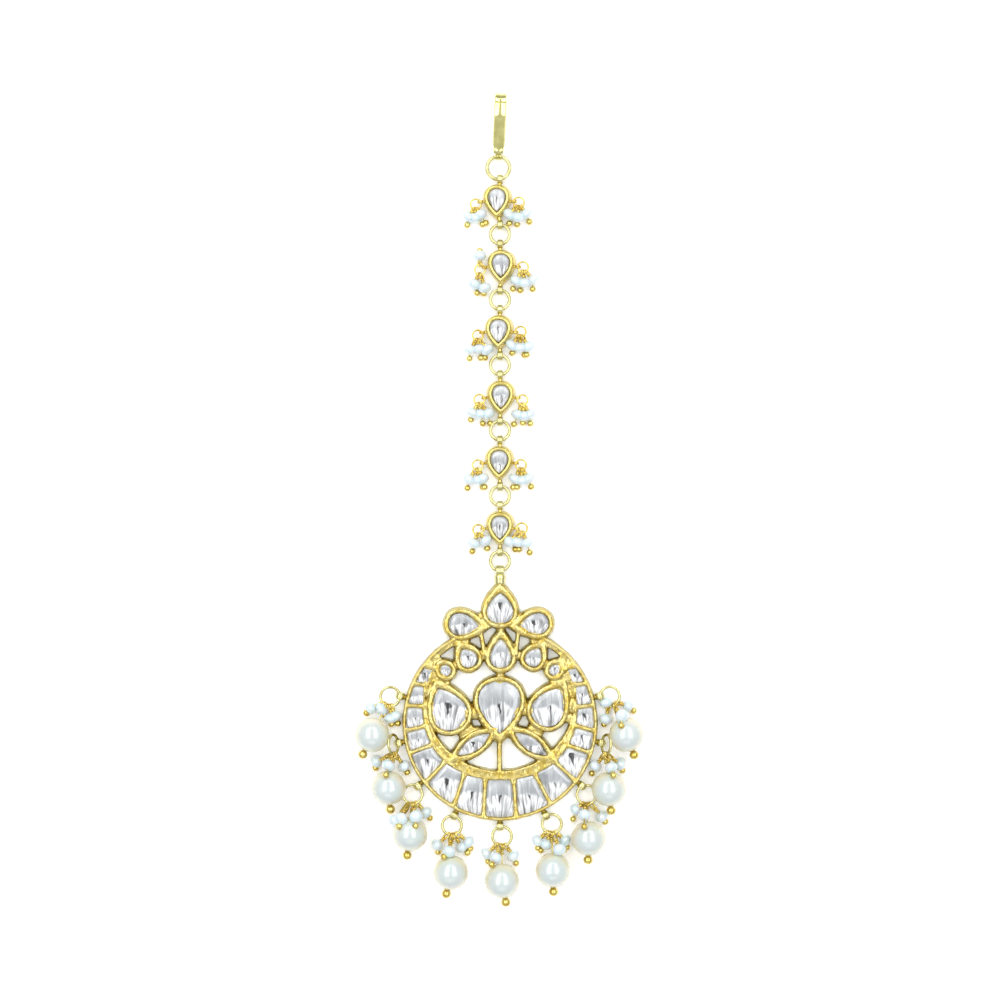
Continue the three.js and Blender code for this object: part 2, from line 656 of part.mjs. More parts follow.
// Where a side eye's hole lies: aside from the chain and above the surface.
function sideEyePlace(index, sign) {
  const row = UNITS[index];
  const across = sign * (UNIT_WIDTH * SIDE_EYE_SHARE + SIDE_EYE_REACH);
  const roll = radians(row.roll);
  const x = row.shift * UNIT_WIDTH + across * Math.cos(roll) + RING_HEIGHT * Math.sin(roll);
  const z = unitLift(row) + RING_HEIGHT * Math.cos(roll) - across * Math.sin(roll);
  return new THREE.Vector3(x, unitMiddle(index), z);
}

function sideCluster(index, sign, lean, bunches, label) {
  const centre = sideEyePlace(index, sign).addScaledVector(towards(lean), SIDE_RING_RADIUS);
  const torus = wireRing(SIDE_RING_RADIUS, SIDE_RING_WIRE, SMALL_RING_STEPS);
  const pieces = [torus.translate(centre.x, centre.y, centre.z)];
  for (const [from, to] of bunches) {
    const start = centre.clone().addScaledVector(towards(270 + (from + to) / 2), SIDE_RING_RADIUS);
    pieces.push(...seedBunch(from, to, start, centre, SIDE_SEED_REACH));
  }
  return meshOf(`unit_${index + 1}_${label}`, joined(pieces), SEED);
}

// Hook

// The middle line of the hook's strip, as pairs of height along the chain and height above the surface.
function hookLine(bottom) {
  const bend = (HOOK_OPENING + HOOK_THICKNESS) / 2;
  const low = HOOK_THICKNESS / 2;
  const top = bottom + HOOK_LENGTH - bend - HOOK_THICKNESS / 2;
  const line = new THREE.CatmullRomCurve3([
    new THREE.Vector3(bottom, RING_HEIGHT, 0),
    new THREE.Vector3(bottom + HOOK_LENGTH * 0.22, RING_HEIGHT + HOOK_OPENING * 0.35, 0),
    new THREE.Vector3(bottom + HOOK_LENGTH * 0.5, low + HOOK_OPENING + HOOK_THICKNESS * 0.4, 0),
    new THREE.Vector3(top, low + 2 * bend, 0),
  ]).getPoints(8);
  for (let i = 1; i <= 8; i += 1) {
    const turn = Math.PI / 2 - (i / 8) * Math.PI;
    line.push(new THREE.Vector3(top + bend * Math.cos(turn), low + bend + bend * Math.sin(turn), 0));
  }
  line.push(new THREE.Vector3(top - HOOK_RETURN * 0.5, low, 0));
  line.push(new THREE.Vector3(top - HOOK_RETURN, low + HOOK_THICKNESS * 0.3, 0));
  return line;
}

function stripOutline(line, thickness) {
  const left = [];
  const right = [];
  line.forEach((point, i) => {
    const before = line[Math.max(i - 1, 0)];
    const after = line[Math.min(i + 1, line.length - 1)];
    const along = new THREE.Vector3().subVectors(after, before).normalize();
    const side = new THREE.Vector2(-along.y, along.x).multiplyScalar(thickness / 2);
    left.push(new THREE.Vector2(point.x + side.x, point.y + side.y));
    right.unshift(new THREE.Vector2(point.x - side.x, point.y - side.y));
  });
  return [...left, ...right];
}

function hook() {
  const hole = eyeHole(HOOK_RING_RADIUS, HOOK_RING_WIRE, HOOK_EYE_WIDTH);
  const reach = hole + EYE_WALL / 2;
  const strip = prism(stripOutline(hookLine(reach), HOOK_THICKNESS), -HOOK_WIDTH / 2, HOOK_WIDTH / 2);
  strip.rotateX(Math.PI / 2).rotateZ(Math.PI / 2);
  const tab = eye(reach, HOOK_THICKNESS, hole, EYE_WALL, HOOK_EYE_WIDTH, EYE_NECK);
  placedEye(tab, 0, reach, 270);
  const mesh = meshOf("hook", joined([strip, tab]), STRIP_GOLD);
  mesh.position.set(-HOOK_ASIDE, hookRingMiddle() + HOOK_RING_RADIUS, 0);
  mesh.rotation.z = radians(HOOK_LEAN);
  return mesh;
}

// The whole jewel

const tikka = new THREE.Group();
tikka.add(pendantFrame(), crescentStones(), ...LOTUS.map(lotusStone));
DROPS.forEach((row, index) => tikka.add(dropPearl(row, index), dropSeeds(row, index)));
UNITS.forEach((row, index) => {
  tikka.add(unitSetting(index));
  tikka.add(sideCluster(index, -1, row.leanLeft, row.left, "left"));
  tikka.add(sideCluster(index, 1, row.leanRight, row.right, "right"));
});
for (let index = 0; index <= UNITS.length; index += 1) {
  tikka.add(chainRing(index));
}
tikka.add(hook());

// The origin is under the middle of the whole jewel, on the surface.
tikka.updateMatrixWorld(true);
const box = new THREE.Box3().setFromObject(tikka, true);
const middle = box.getCenter(new THREE.Vector3());
tikka.position.set(-middle.x, -middle.y, -box.min.z);

export default tikka;
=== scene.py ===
"""A lotus forehead jewel, a maang tikka, lying flat on a pale studio floor.

It has a pierced gold pendant with flat-cut foiled stones, pearls and seed pearls on jump rings, a
chain of small teardrop settings and a flat gold hook. Forms are made in millimetres from the middle
of the pendant's disc and then put in the frame, in metres.
"""

import math
import random

import bmesh
import bpy
from mathutils import Matrix, Vector


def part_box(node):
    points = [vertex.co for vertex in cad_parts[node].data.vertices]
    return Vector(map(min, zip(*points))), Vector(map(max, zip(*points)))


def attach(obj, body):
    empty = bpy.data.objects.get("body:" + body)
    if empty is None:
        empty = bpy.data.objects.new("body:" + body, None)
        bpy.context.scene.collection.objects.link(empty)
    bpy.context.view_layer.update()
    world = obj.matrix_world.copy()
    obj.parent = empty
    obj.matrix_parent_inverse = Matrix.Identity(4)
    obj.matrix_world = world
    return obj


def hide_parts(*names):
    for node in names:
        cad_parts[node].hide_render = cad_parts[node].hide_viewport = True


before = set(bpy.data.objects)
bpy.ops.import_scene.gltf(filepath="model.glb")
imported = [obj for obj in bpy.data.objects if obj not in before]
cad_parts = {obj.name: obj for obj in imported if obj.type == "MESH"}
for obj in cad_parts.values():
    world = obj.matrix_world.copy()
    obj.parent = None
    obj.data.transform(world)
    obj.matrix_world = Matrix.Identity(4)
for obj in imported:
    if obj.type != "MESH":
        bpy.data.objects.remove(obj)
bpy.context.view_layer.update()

bl_info = {
    "name": "Maang Tikka",
    "version": (1, 0, 0),
    "blender": (4, 5, 0),
    "location": "View3D > Sidebar > Maang tikka",
    "description": "Builds a lotus forehead jewel with its chain, hook, pearls and studio",
    "category": "Object",
}

MM = 0.001

# The pendant, in millimetres
DISC = 17.6
RIM_WALL = 0.77
RIM_END = 152
HORN_END = 138
HORN_REACH = 0.85
HORN_WALL = 1.45
DIVIDER_WIDTH = 0.8
STONE_SEAT = 1.0
FRAME_TOP = 2.3
VOXEL = 0.13
FRAME_TRIANGLES = 168000

# The lotus settings: middle, length and width of the stone as shares of the disc's radius. point is
# the way the tip looks in degrees, tip and heel say how sharp each end is.
LOTUS = {
    "stone_top_petal": (0.001, 1.177, 0.307, 0.272, 90, 0.75, 0),
    "stone_petal_left": (-0.368, 1.011, 0.312, 0.222, -6, 0.8, 0),
    "stone_petal_right": (0.347, 1.017, 0.298, 0.214, 186, 0.8, 0),
    "stone_row_centre": (0.008, 0.716, 0.297, 0.215, 90, 0.85, 0),
    "stone_row_left": (-0.328, 0.67, 0.2, 0.18, 122, 0.45, 0),
    "stone_row_right": (0.348, 0.68, 0.2, 0.168, 58, 0.6, 0),
    "stone_tiny_left": (-0.558, 0.544, 0.124, 0.112, 135, 0.2, 0),
    "stone_tiny_right": (0.562, 0.549, 0.124, 0.104, 45, 0.3, 0),
    "stone_main_centre": (-0.005, 0.167, 0.528, 0.43, 270, 0.85, 0),
    "stone_main_left": (-0.534, 0.149, 0.45, 0.355, 115, 0.75, 0),
    "stone_main_right": (0.511, 0.179, 0.432, 0.325, 60, 0.8, 0),
    "stone_slim_left": (-0.268, -0.215, 0.392, 0.136, 34, 1, 1),
    "stone_slim_right": (0.314, -0.209, 0.395, 0.136, -35, 1, 1),
}
TIP_WALLS = 1.3

# Where the gold between two settings is filled up, as shares of the disc's radius.
FILLS = [
    ("stone_top_petal", "stone_petal_left"),
    ("stone_top_petal", "stone_petal_right"),
    ("stone_top_petal", "stone_row_centre"),
    ("stone_petal_left", "stone_row_left"),
    ("stone_petal_right", "stone_row_right"),
    ("stone_row_left", "stone_row_centre"),
    ("stone_row_right", "stone_row_centre"),
    ("stone_row_centre", "stone_main_centre"),
    ("stone_row_left", "stone_tiny_left"),
    ("stone_row_right", "stone_tiny_right"),
    ("stone_tiny_left", "stone_main_left"),
    ("stone_tiny_right", "stone_main_right"),
]
RIBS = [((-0.204, 0.976), (-0.158, 0.7)), ((0.189, 0.976), (0.164, 0.7))]

# Wider webs of gold between the settings and the crescent: start and end as shares of the disc's
# radius, then width and height in millimetres. They leave the small gaps of the lotus open.
WEBS = [
    ((-0.5, 0.1), (-0.1, 0.1), 2.3, 2.05), ((0.5, 0.125), (0.1, 0.125), 1.9, 2.05),
    ((-0.4, 0.06), (-0.325, -0.15), 3.2, 2.0), ((0.41, 0.06), (0.345, -0.13), 3.2, 2.0),
    ((-0.36, -0.072), (-0.12, -0.072), 1.4, 1.95), ((0.36, -0.075), (0.12, -0.075), 1.3, 1.95),
    ((-0.27, -0.21), (-0.04, -0.09), 1.6, 1.95), ((0.31, -0.2), (0.04, -0.09), 1.6, 1.95),
    ((-0.6, 0.1), (-0.755, 0.0), 2.2, 2.08), ((0.6, 0.12), (0.755, 0.02), 2.0, 2.08),
    ((-0.6, 0.2), (-0.77, 0.17), 3.0, 2.08), ((0.6, 0.2), (0.77, 0.17), 3.0, 2.08),
    ((-0.6, 0.32), (-0.76, 0.34), 3.2, 2.08), ((0.6, 0.34), (0.76, 0.34), 3.2, 2.08),
    ((-0.57, 0.47), (-0.74, 0.48), 3.0, 2.08), ((0.57, 0.48), (0.74, 0.48), 3.0, 2.08),
    ((-0.56, 0.55), (-0.73, 0.59), 2.2, 2.1), ((0.57, 0.56), (0.73, 0.59), 2.2, 2.1),
    ((-0.34, 0.74), (-0.46, 0.84), 1.7, 2.05), ((0.36, 0.77), (0.45, 0.87), 1.3, 2.05),
    ((-0.14, 1.03), (-0.3, 0.98), 2.2, 2.1), ((0.14, 1.03), (0.3, 0.98), 2.2, 2.1),
]

# The crescent: for the left and the right side, the turns of its dividers in degrees from straight
# down, near the open field and at the rim. Then the circle of the open field, and how far from the
# middle its stones begin at some turns.
DIVIDERS = {
    -1: [(14.9, 10), (35.5, 29), (55.2, 51.4), (72.6, 71.6),
         (87.9, 85.6), (102.6, 101), (118, 114.6), (130.5, 127.5)],
    1: [(14, 9.8), (34.8, 32), (55.2, 52.6), (72.2, 72),
        (88.6, 85.4), (102, 101.2), (118, 115), (130.5, 127.5)],
}
FIELD = (0.283, 0.762)
POCKETS = [(0, 0.578), (20, 0.6), (40, 0.645), (60, 0.705), (92, 0.785), (112, 0.83), (131, 0.885)]

# The drops from the left round to the right: the way the ring lies from its eye, the way the pearl
# hangs, how far the ring stands up, the pearl's reach, the turn of the ball end, and the seed
# pearls as offsets from the ring's middle with the offset of each ball end from its seed pearl.
DROP_STEP = 26.3
DROPS = [
    (186, 245, 0, 0.94, -26, [((-3.5, -2.0), (-0.8, -1.0)), ((-1.6, -2.2), (0.55, -1.2)),
                              ((0.9, -3.5), (0.45, -1.35)), ((0.1, -3.9), (0.1, -1.1))]),
    (186, 261, 64, 1.0, 5, [((-3.1, -3.2), (-0.2, -1.3)), ((-0.8, -3.6), (-0.36, -1.45)),
                            ((1.8, -4.05), (0.55, -1.25))]),
    (240, 267, 0, 0.87, -8, [((-3.1, -4.2), (0.9, -0.85)), ((-1.9, -3.7), (-0.4, -1.3)),
                             ((0.74, -3.4), (0.0, -1.5)), ((2.4, -3.3), (0.7, -1.05))]),
    (258, 269, 0, 1.04, -12, [((-2.6, -3.5), (0.1, -1.35)), ((-0.4, -4.1), (-0.95, -0.85)),
                              ((1.7, -3.95), (1.1, -1.05)), ((3.0, -2.95), (0.3, -1.3))]),
    (282, 270, 0, 0.98, 10, [((-2.75, -3.1), (0.25, -1.5)), ((-1.15, -3.55), (-0.7, -1.0)),
                             ((2.05, -3.55), (0.5, -1.4))]),
    (306, 271, 0, 1.02, 2, [((-2.6, -3.0), (0.1, -1.45)), ((-1.0, -3.7), (-0.95, -1.15)),
                            ((1.3, -4.05), (0.9, -0.8)), ((2.4, -3.0), (0.4, -1.3))]),
    (294, 272, 0, 0.96, -1, [((-1.9, -2.7), (-0.5, -1.75)), ((-0.5, -3.2), (-0.1, -1.75)),
                             ((2.8, -3.9), (0.6, -1.0))]),
    (-6, 275, 66, 1.02, 6, [((-1.85, -4.0), (-0.65, -1.5)), ((0.75, -3.9), (0.35, -1.2)),
                            ((2.5, -3.7), (0.5, -1.25))]),
    (-4, 293, 0, 0.93, 21, [((-0.7, -1.15), (0.0, 0.1)), ((-0.7, -4.1), (-0.3, -1.0)),
                            ((1.95, -3.1), (-0.2, -1.65)), ((3.3, -1.75), (1.0, -0.9))]),
]
DROP_RING = (1.74, 0.26)
EYE_REACH = 1.15
RING_HEIGHT = 1.15
PEARL_REACH = 7.8

# The chain units from the hook down: the roll, the shift aside, and for the left and the right
# side the way the ring lies and its seed pearls, given as on the drops.
UNIT_SIZE = (4.8, 6.05, 2.1)
UNIT_STONE = (3.1, 4.0)
SIDE_EYE_ACROSS = 3.01
SIDE_RING = (0.95, 0.17)
UNITS = [
    (-5, -0.09, (208, [((-1.4, -2.3), (-0.15, -1.4)), ((-0.2, -2.5), (1.4, -1.1)),
                      ((0.9, -1.95), (0.9, -1.4))]),
     (-11, [((-1.8, -2.1), (0.1, -1.55)), ((-0.2, -2.65), (-0.1, -1.2)), ((1.4, -1.9), (0.5, -1.45))])),
    (-6, 0.07, (209, [((-0.1, 2.55), (0.05, 0.9)), ((-1.1, -2.65), (0.55, -1.5)),
                      ((0.85, -3.3), (-0.2, -0.95))]),
     (-4, [((-1.3, -2.4), (-0.5, -1.4)), ((0.2, -2.75), (-0.7, -1.3)), ((1.85, -2.1), (-0.1, -1.75))])),
    (-6, -0.02, (213, [((-1.4, -2.6), (-0.1, -1.55)), ((0.25, -2.5), (0.3, -1.5)),
                      ((1.75, -2.6), (-0.45, -1.4))]),
     (6, [((-1.65, -2.4), (0.15, -1.35)), ((-0.2, -2.8), (0.9, -1.35)), ((1.4, -2.65), (-0.3, -1.45))])),
    (-1, 0.04, (200, [((-1.3, -2.4), (-0.25, -1.2)), ((0.2, -2.6), (0.4, -1.7)),
                      ((1.65, -2.5), (0.3, -1.8))]),
     (-25, [((-0.85, -2.65), (-0.65, -1.7)), ((0.3, -2.9), (-0.2, -1.2)), ((1.35, -2.6), (0.1, -1.6))])),
    (-2, -0.02, (202, [((-1.65, -2.55), (-0.2, -1.6)), ((0.9, -2.45), (0.3, -1.5)),
                      ((0.2, -2.7), (0.7, -1.3))]),
     (-18, [((-1.1, -2.55), (-0.3, -1.5)), ((1.35, -2.45), (0.5, -1.5)), ((0.2, -2.8), (-0.9, -1.2))])),
    (-2, 0.01, (194, [((-0.85, -2.45), (-0.25, -1.45)), ((1.4, -2.0), (0.2, -1.35))]),
     (4, [((-2.4, -2.4), (1.2, -1.45)), ((-0.9, -2.5), (0.35, -1.35)), ((0.9, -2.65), (0.5, -1.75))])),
]

# Jump rings, as (radius of the ring, radius of its wire).
CHAIN_RING = (1.72, 0.31)
HOOK_RING = (2.05, 0.34)
# A form that would stand over this height is pressed down to it.
PRESS_TOP = 6.25
HOOK = {"length": 10.9, "lean": -2.4, "width": 2.1, "thickness": 0.6, "opening": 2.3, "back": 6.6}


def pendant_middle():
    """The disc's middle under the jewel, in metres."""
    low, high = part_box("crescent_stones")
    return Vector(((low[0] + high[0]) / 2, low[1] + (DISC - RIM_WALL - 0.06) * MM, 0))


def hex_colour(code):
    """A linear colour from an sRGB hex code."""
    channels = []
    for place in (0, 2, 4):
        share = int(code[place:place + 2], 16) / 255
        channels.append(share / 12.92 if share <= 0.04045 else ((share + 0.055) / 1.055) ** 2.4)
    return (*channels, 1.0)


class TikkaSizes(bpy.types.PropertyGroup):
    """Sizes of the pearls, wires and beads."""

    pearl: bpy.props.FloatProperty(
        name="Pearl", description="Diameter of a hanging pearl", default=0.0063, unit="LENGTH")
    seed: bpy.props.FloatProperty(
        name="Seed pearl", description="Width of a seed pearl", default=0.0024, unit="LENGTH")
    pearl_ball: bpy.props.FloatProperty(
        name="Pearl's ball end", description="Diameter of the ball under a pearl",
        default=0.0017, unit="LENGTH")
    seed_ball: bpy.props.FloatProperty(
        name="Seed pearl's ball end", description="Diameter of the ball on a seed pearl's pin",
        default=0.0012, unit="LENGTH")
    pin: bpy.props.FloatProperty(
        name="Pin wire", description="Thickness of the headpins and wire loops",
        default=0.0003, unit="LENGTH")
    crown: bpy.props.FloatProperty(
        name="Stone crown", description="Height of a stone's faceted crown", default=0.00028, unit="LENGTH")
    hammering: bpy.props.FloatProperty(
        name="Hand finish", description="How uneven the burnished gold is", default=0.00009, unit="LENGTH")


class TikkaColours(bpy.types.PropertyGroup):
    """Colours of the metals, stones and pearls."""

    gold: bpy.props.FloatVectorProperty(
        name="Burnished gold", description="Soft gold of the settings", size=4, subtype="COLOR",
        default=hex_colour("D5C47E"))
    # Painted shade: a darker brown gold for the low places between the settings, where shade falls.
    gold_painted_low_shade: bpy.props.FloatVectorProperty(
        name="Gold in the hollows", description="Gold low down between the settings", size=4, subtype="COLOR",
        default=hex_colour("9A8130"))
    # Painted shade: a darker greenish gold for the side walls, which stand in shade.
    gold_painted_wall_shade: bpy.props.FloatVectorProperty(
        name="Gold of the walls", description="Greenish gold of the side walls", size=4, subtype="COLOR",
        default=hex_colour("A9A56C"))
    ring_gold: bpy.props.FloatVectorProperty(
        name="Ring gold", description="Pale gold of the rings, eyes and bail", size=4, subtype="COLOR",
        default=hex_colour("DFD9A0"))
    wire_gold: bpy.props.FloatVectorProperty(
        name="Wire gold", description="Deep gold of the thin wires and ball ends", size=4, subtype="COLOR",
        default=hex_colour("E8D684"))
    strip_gold: bpy.props.FloatVectorProperty(
        name="Strip gold", description="Satin olive gold of the hook", size=4, subtype="COLOR",
        default=hex_colour("EFE8A0"))
    foil: bpy.props.FloatVectorProperty(
        name="Silver foil", description="Bright foil under the stones", size=4, subtype="COLOR",
        default=hex_colour("F4F6F8"))
    foil_shade: bpy.props.FloatVectorProperty(
        name="Shaded foil", description="Grey of the foil's shaded upper part", size=4, subtype="COLOR",
        default=hex_colour("A0A4A8"))
    pearl: bpy.props.FloatVectorProperty(
        name="Pearl", description="Cream white of the pearls", size=4, subtype="COLOR",
        default=hex_colour("DEDAB6"))
    seed: bpy.props.FloatVectorProperty(
        name="Seed pearl", description="Bluish white of the seed pearls", size=4, subtype="COLOR",
        default=hex_colour("CBDCE4"))
    floor: bpy.props.FloatVectorProperty(
        name="Floor", description="Pale studio floor", size=4, subtype="COLOR",
        default=hex_colour("FAFAFA"))


def sizes():
    """The user's sizes."""
    return bpy.context.scene.tikka_sizes


def colours():
    """The user's colours."""
    return bpy.context.scene.tikka_colours


# Materials


def add_node(tree, kind, settings=None, links=None):
    """Adds a node, sets its options and sockets, and links its inputs."""
    node = tree.nodes.new(kind)
    for name, value in (settings or {}).items():
        if isinstance(name, int) or name in node.inputs:
            node.inputs[name].default_value = value
        else:
            setattr(node, name, value)
    for name, source in (links or {}).items():
        tree.links.new(source, node.inputs[name])
    return node


def ramp_node(tree, source, stops):
    """A colour ramp over the source, with (place, grey) stops."""
    node = add_node(tree, "ShaderNodeValToRGB", links={"Fac": source})
    marks = node.color_ramp.elements
    while len(marks) < len(stops):
        marks.new(0.5)
    for mark, (place, grey) in zip(marks, stops):
        mark.position = place
        mark.color = (grey, grey, grey, 1)
    return node.outputs["Color"]


def mix_colour(tree, share, first, second, blend="MIX"):
    """Two colours, each a socket or a value, mixed by a share."""
    node = add_node(tree, "ShaderNodeMix", {"data_type": "RGBA", "blend_type": blend})
    for socket, value in ((node.inputs[0], share), (node.inputs[6], first), (node.inputs[7], second)):
        if isinstance(value, bpy.types.NodeSocket):
            tree.links.new(value, socket)
        else:
            socket.default_value = value
    return node.outputs[2]


def maths(tree, operation, first, second=0.0, third=0.0, clamp=False):
    """A number worked out from sockets or values."""
    node = add_node(tree, "ShaderNodeMath", {"operation": operation, "use_clamp": clamp})
    for index, value in enumerate((first, second, third)):
        if isinstance(value, bpy.types.NodeSocket):
            tree.links.new(value, node.inputs[index])
        else:
            node.inputs[index].default_value = value
    return node.outputs[0]


def stepped(tree, source, low, high):
    """0 below low, 1 above high and smooth between."""
    node = add_node(tree, "ShaderNodeMapRange", {"interpolation_type": "SMOOTHSTEP", 1: low, 2: high},
                    {0: source})
    return node.outputs[0]


def noise_of(tree, place, size_mm, detail=2.0, roughness=0.5, dimensions="3D"):
    """Noise whose patches are about size_mm across where place is in metres."""
    node = add_node(tree, "ShaderNodeTexNoise", {
        "noise_dimensions": dimensions, "Scale": 1 / (size_mm * MM), "Detail": detail,
        "Roughness": roughness},
        {"Vector": place})
    return node.outputs["Fac"]


def bumped(tree, height, distance, strength=1.0, normal=None):
    """A normal from a height, its full depth given in millimetres."""
    node = add_node(tree, "ShaderNodeBump", {"Strength": strength, "Distance": distance * MM},
                    {"Height": height})
    if normal:
        tree.links.new(normal, node.inputs["Normal"])
    return node.outputs["Normal"]


def blank_material(name):
    """A new material with a bare surface shader, and that shader."""
    material = bpy.data.materials.new(name)
    material.use_nodes = True
    tree = material.node_tree
    return material, tree, tree.nodes["Principled BSDF"]


def object_place(tree):
    """The place on the piece in metres."""
    return add_node(tree, "ShaderNodeTexCoord").outputs["Object"]


def height_of(tree, place):
    """The height above the surface in millimetres."""
    parts = add_node(tree, "ShaderNodeSeparateXYZ", links={"Vector": place})
    return maths(tree, "MULTIPLY", parts.outputs["Z"], 1000)


def kundan_gold_with_painted_shade():
    """High-karat gold foil pressed over the settings and rubbed by hand, with uneven backs and warmer patches;
    painted shade turns its side walls olive and its hollows brown, and a painted highlight makes its ridges pale."""
    material, tree, shader = blank_material("kundan_gold_painted_shade")
    place = object_place(tree)
    height = height_of(tree, place)
    patches = noise_of(tree, place, 1.3, 2.0, 0.55)
    fine = noise_of(tree, place, 0.5, 2.0, 0.5)
    wobble = maths(tree, "MULTIPLY_ADD", patches, 0.5, -0.25)
    level = maths(tree, "ADD", height, wobble)
    # Painted shade: below the tops the gold turns to the painted wall shade and, lower still between the settings,
    # to the darker painted low shade. The tops keep the lit gold with its real warmer patches.
    top = stepped(tree, level, 1.55, 2.05)
    deep = stepped(tree, level, 1.1, 1.7)
    low = mix_colour(tree, deep, colours().gold_painted_wall_shade, colours().gold_painted_low_shade)
    warm = mix_colour(tree, stepped(tree, patches, 0.4, 0.68), colours().gold, hex_colour("C8AE54"))
    tone = mix_colour(tree, top, low, warm)
    # Painted shade and painted highlight: dark brown painted into the creases that the hollow measure finds, and a
    # pale painted highlight on the ridges that stand out.
    hollow = add_node(tree, "ShaderNodeAttribute", {"attribute_name": "hollow"}).outputs["Fac"]
    uneven = maths(tree, "MULTIPLY_ADD", fine, 0.05, -0.025)
    painted_crease_shade = stepped(tree, maths(tree, "ADD", hollow, uneven), 0.03, 0.1)
    tone = mix_colour(tree, maths(tree, "MULTIPLY", painted_crease_shade, 0.8), tone, hex_colour("6B5318"))
    painted_ridge_highlight = stepped(tree, maths(tree, "SUBTRACT", uneven, hollow), 0.05, 0.14)
    final = mix_colour(tree, maths(tree, "MULTIPLY", painted_ridge_highlight, 0.4), tone, hex_colour("F3EBB4"))
    tree.links.new(final, shader.inputs["Base Color"])
    shader.inputs["Metallic"].default_value = 1.0
    rough = maths(tree, "MULTIPLY_ADD", fine, 0.28, 0.16)
    tree.links.new(rough, shader.inputs["Roughness"])
    first = bumped(tree, patches, 0.16, 0.9)
    tree.links.new(bumped(tree, fine, 0.04, 0.6, first), shader.inputs["Normal"])
    return material


def drawn_metal(name, colour, roughness, grain_mm, depth, second_tone):
    """Plain drawn or rolled gold: a soft polish with slight tone changes and fine handling marks."""
    material, tree, shader = blank_material(name)
    place = object_place(tree)
    tone = noise_of(tree, place, 1.6, 2.0)
    marks = noise_of(tree, place, grain_mm, 3.0, 0.65)
    shade = mix_colour(tree, stepped(tree, tone, 0.35, 0.7), colour, second_tone)
    tree.links.new(shade, shader.inputs["Base Color"])
    shader.inputs["Metallic"].default_value = 1.0
    tree.links.new(maths(tree, "MULTIPLY_ADD", marks, 0.16, roughness), shader.inputs["Roughness"])
    tree.links.new(bumped(tree, marks, depth), shader.inputs["Normal"])
    return material


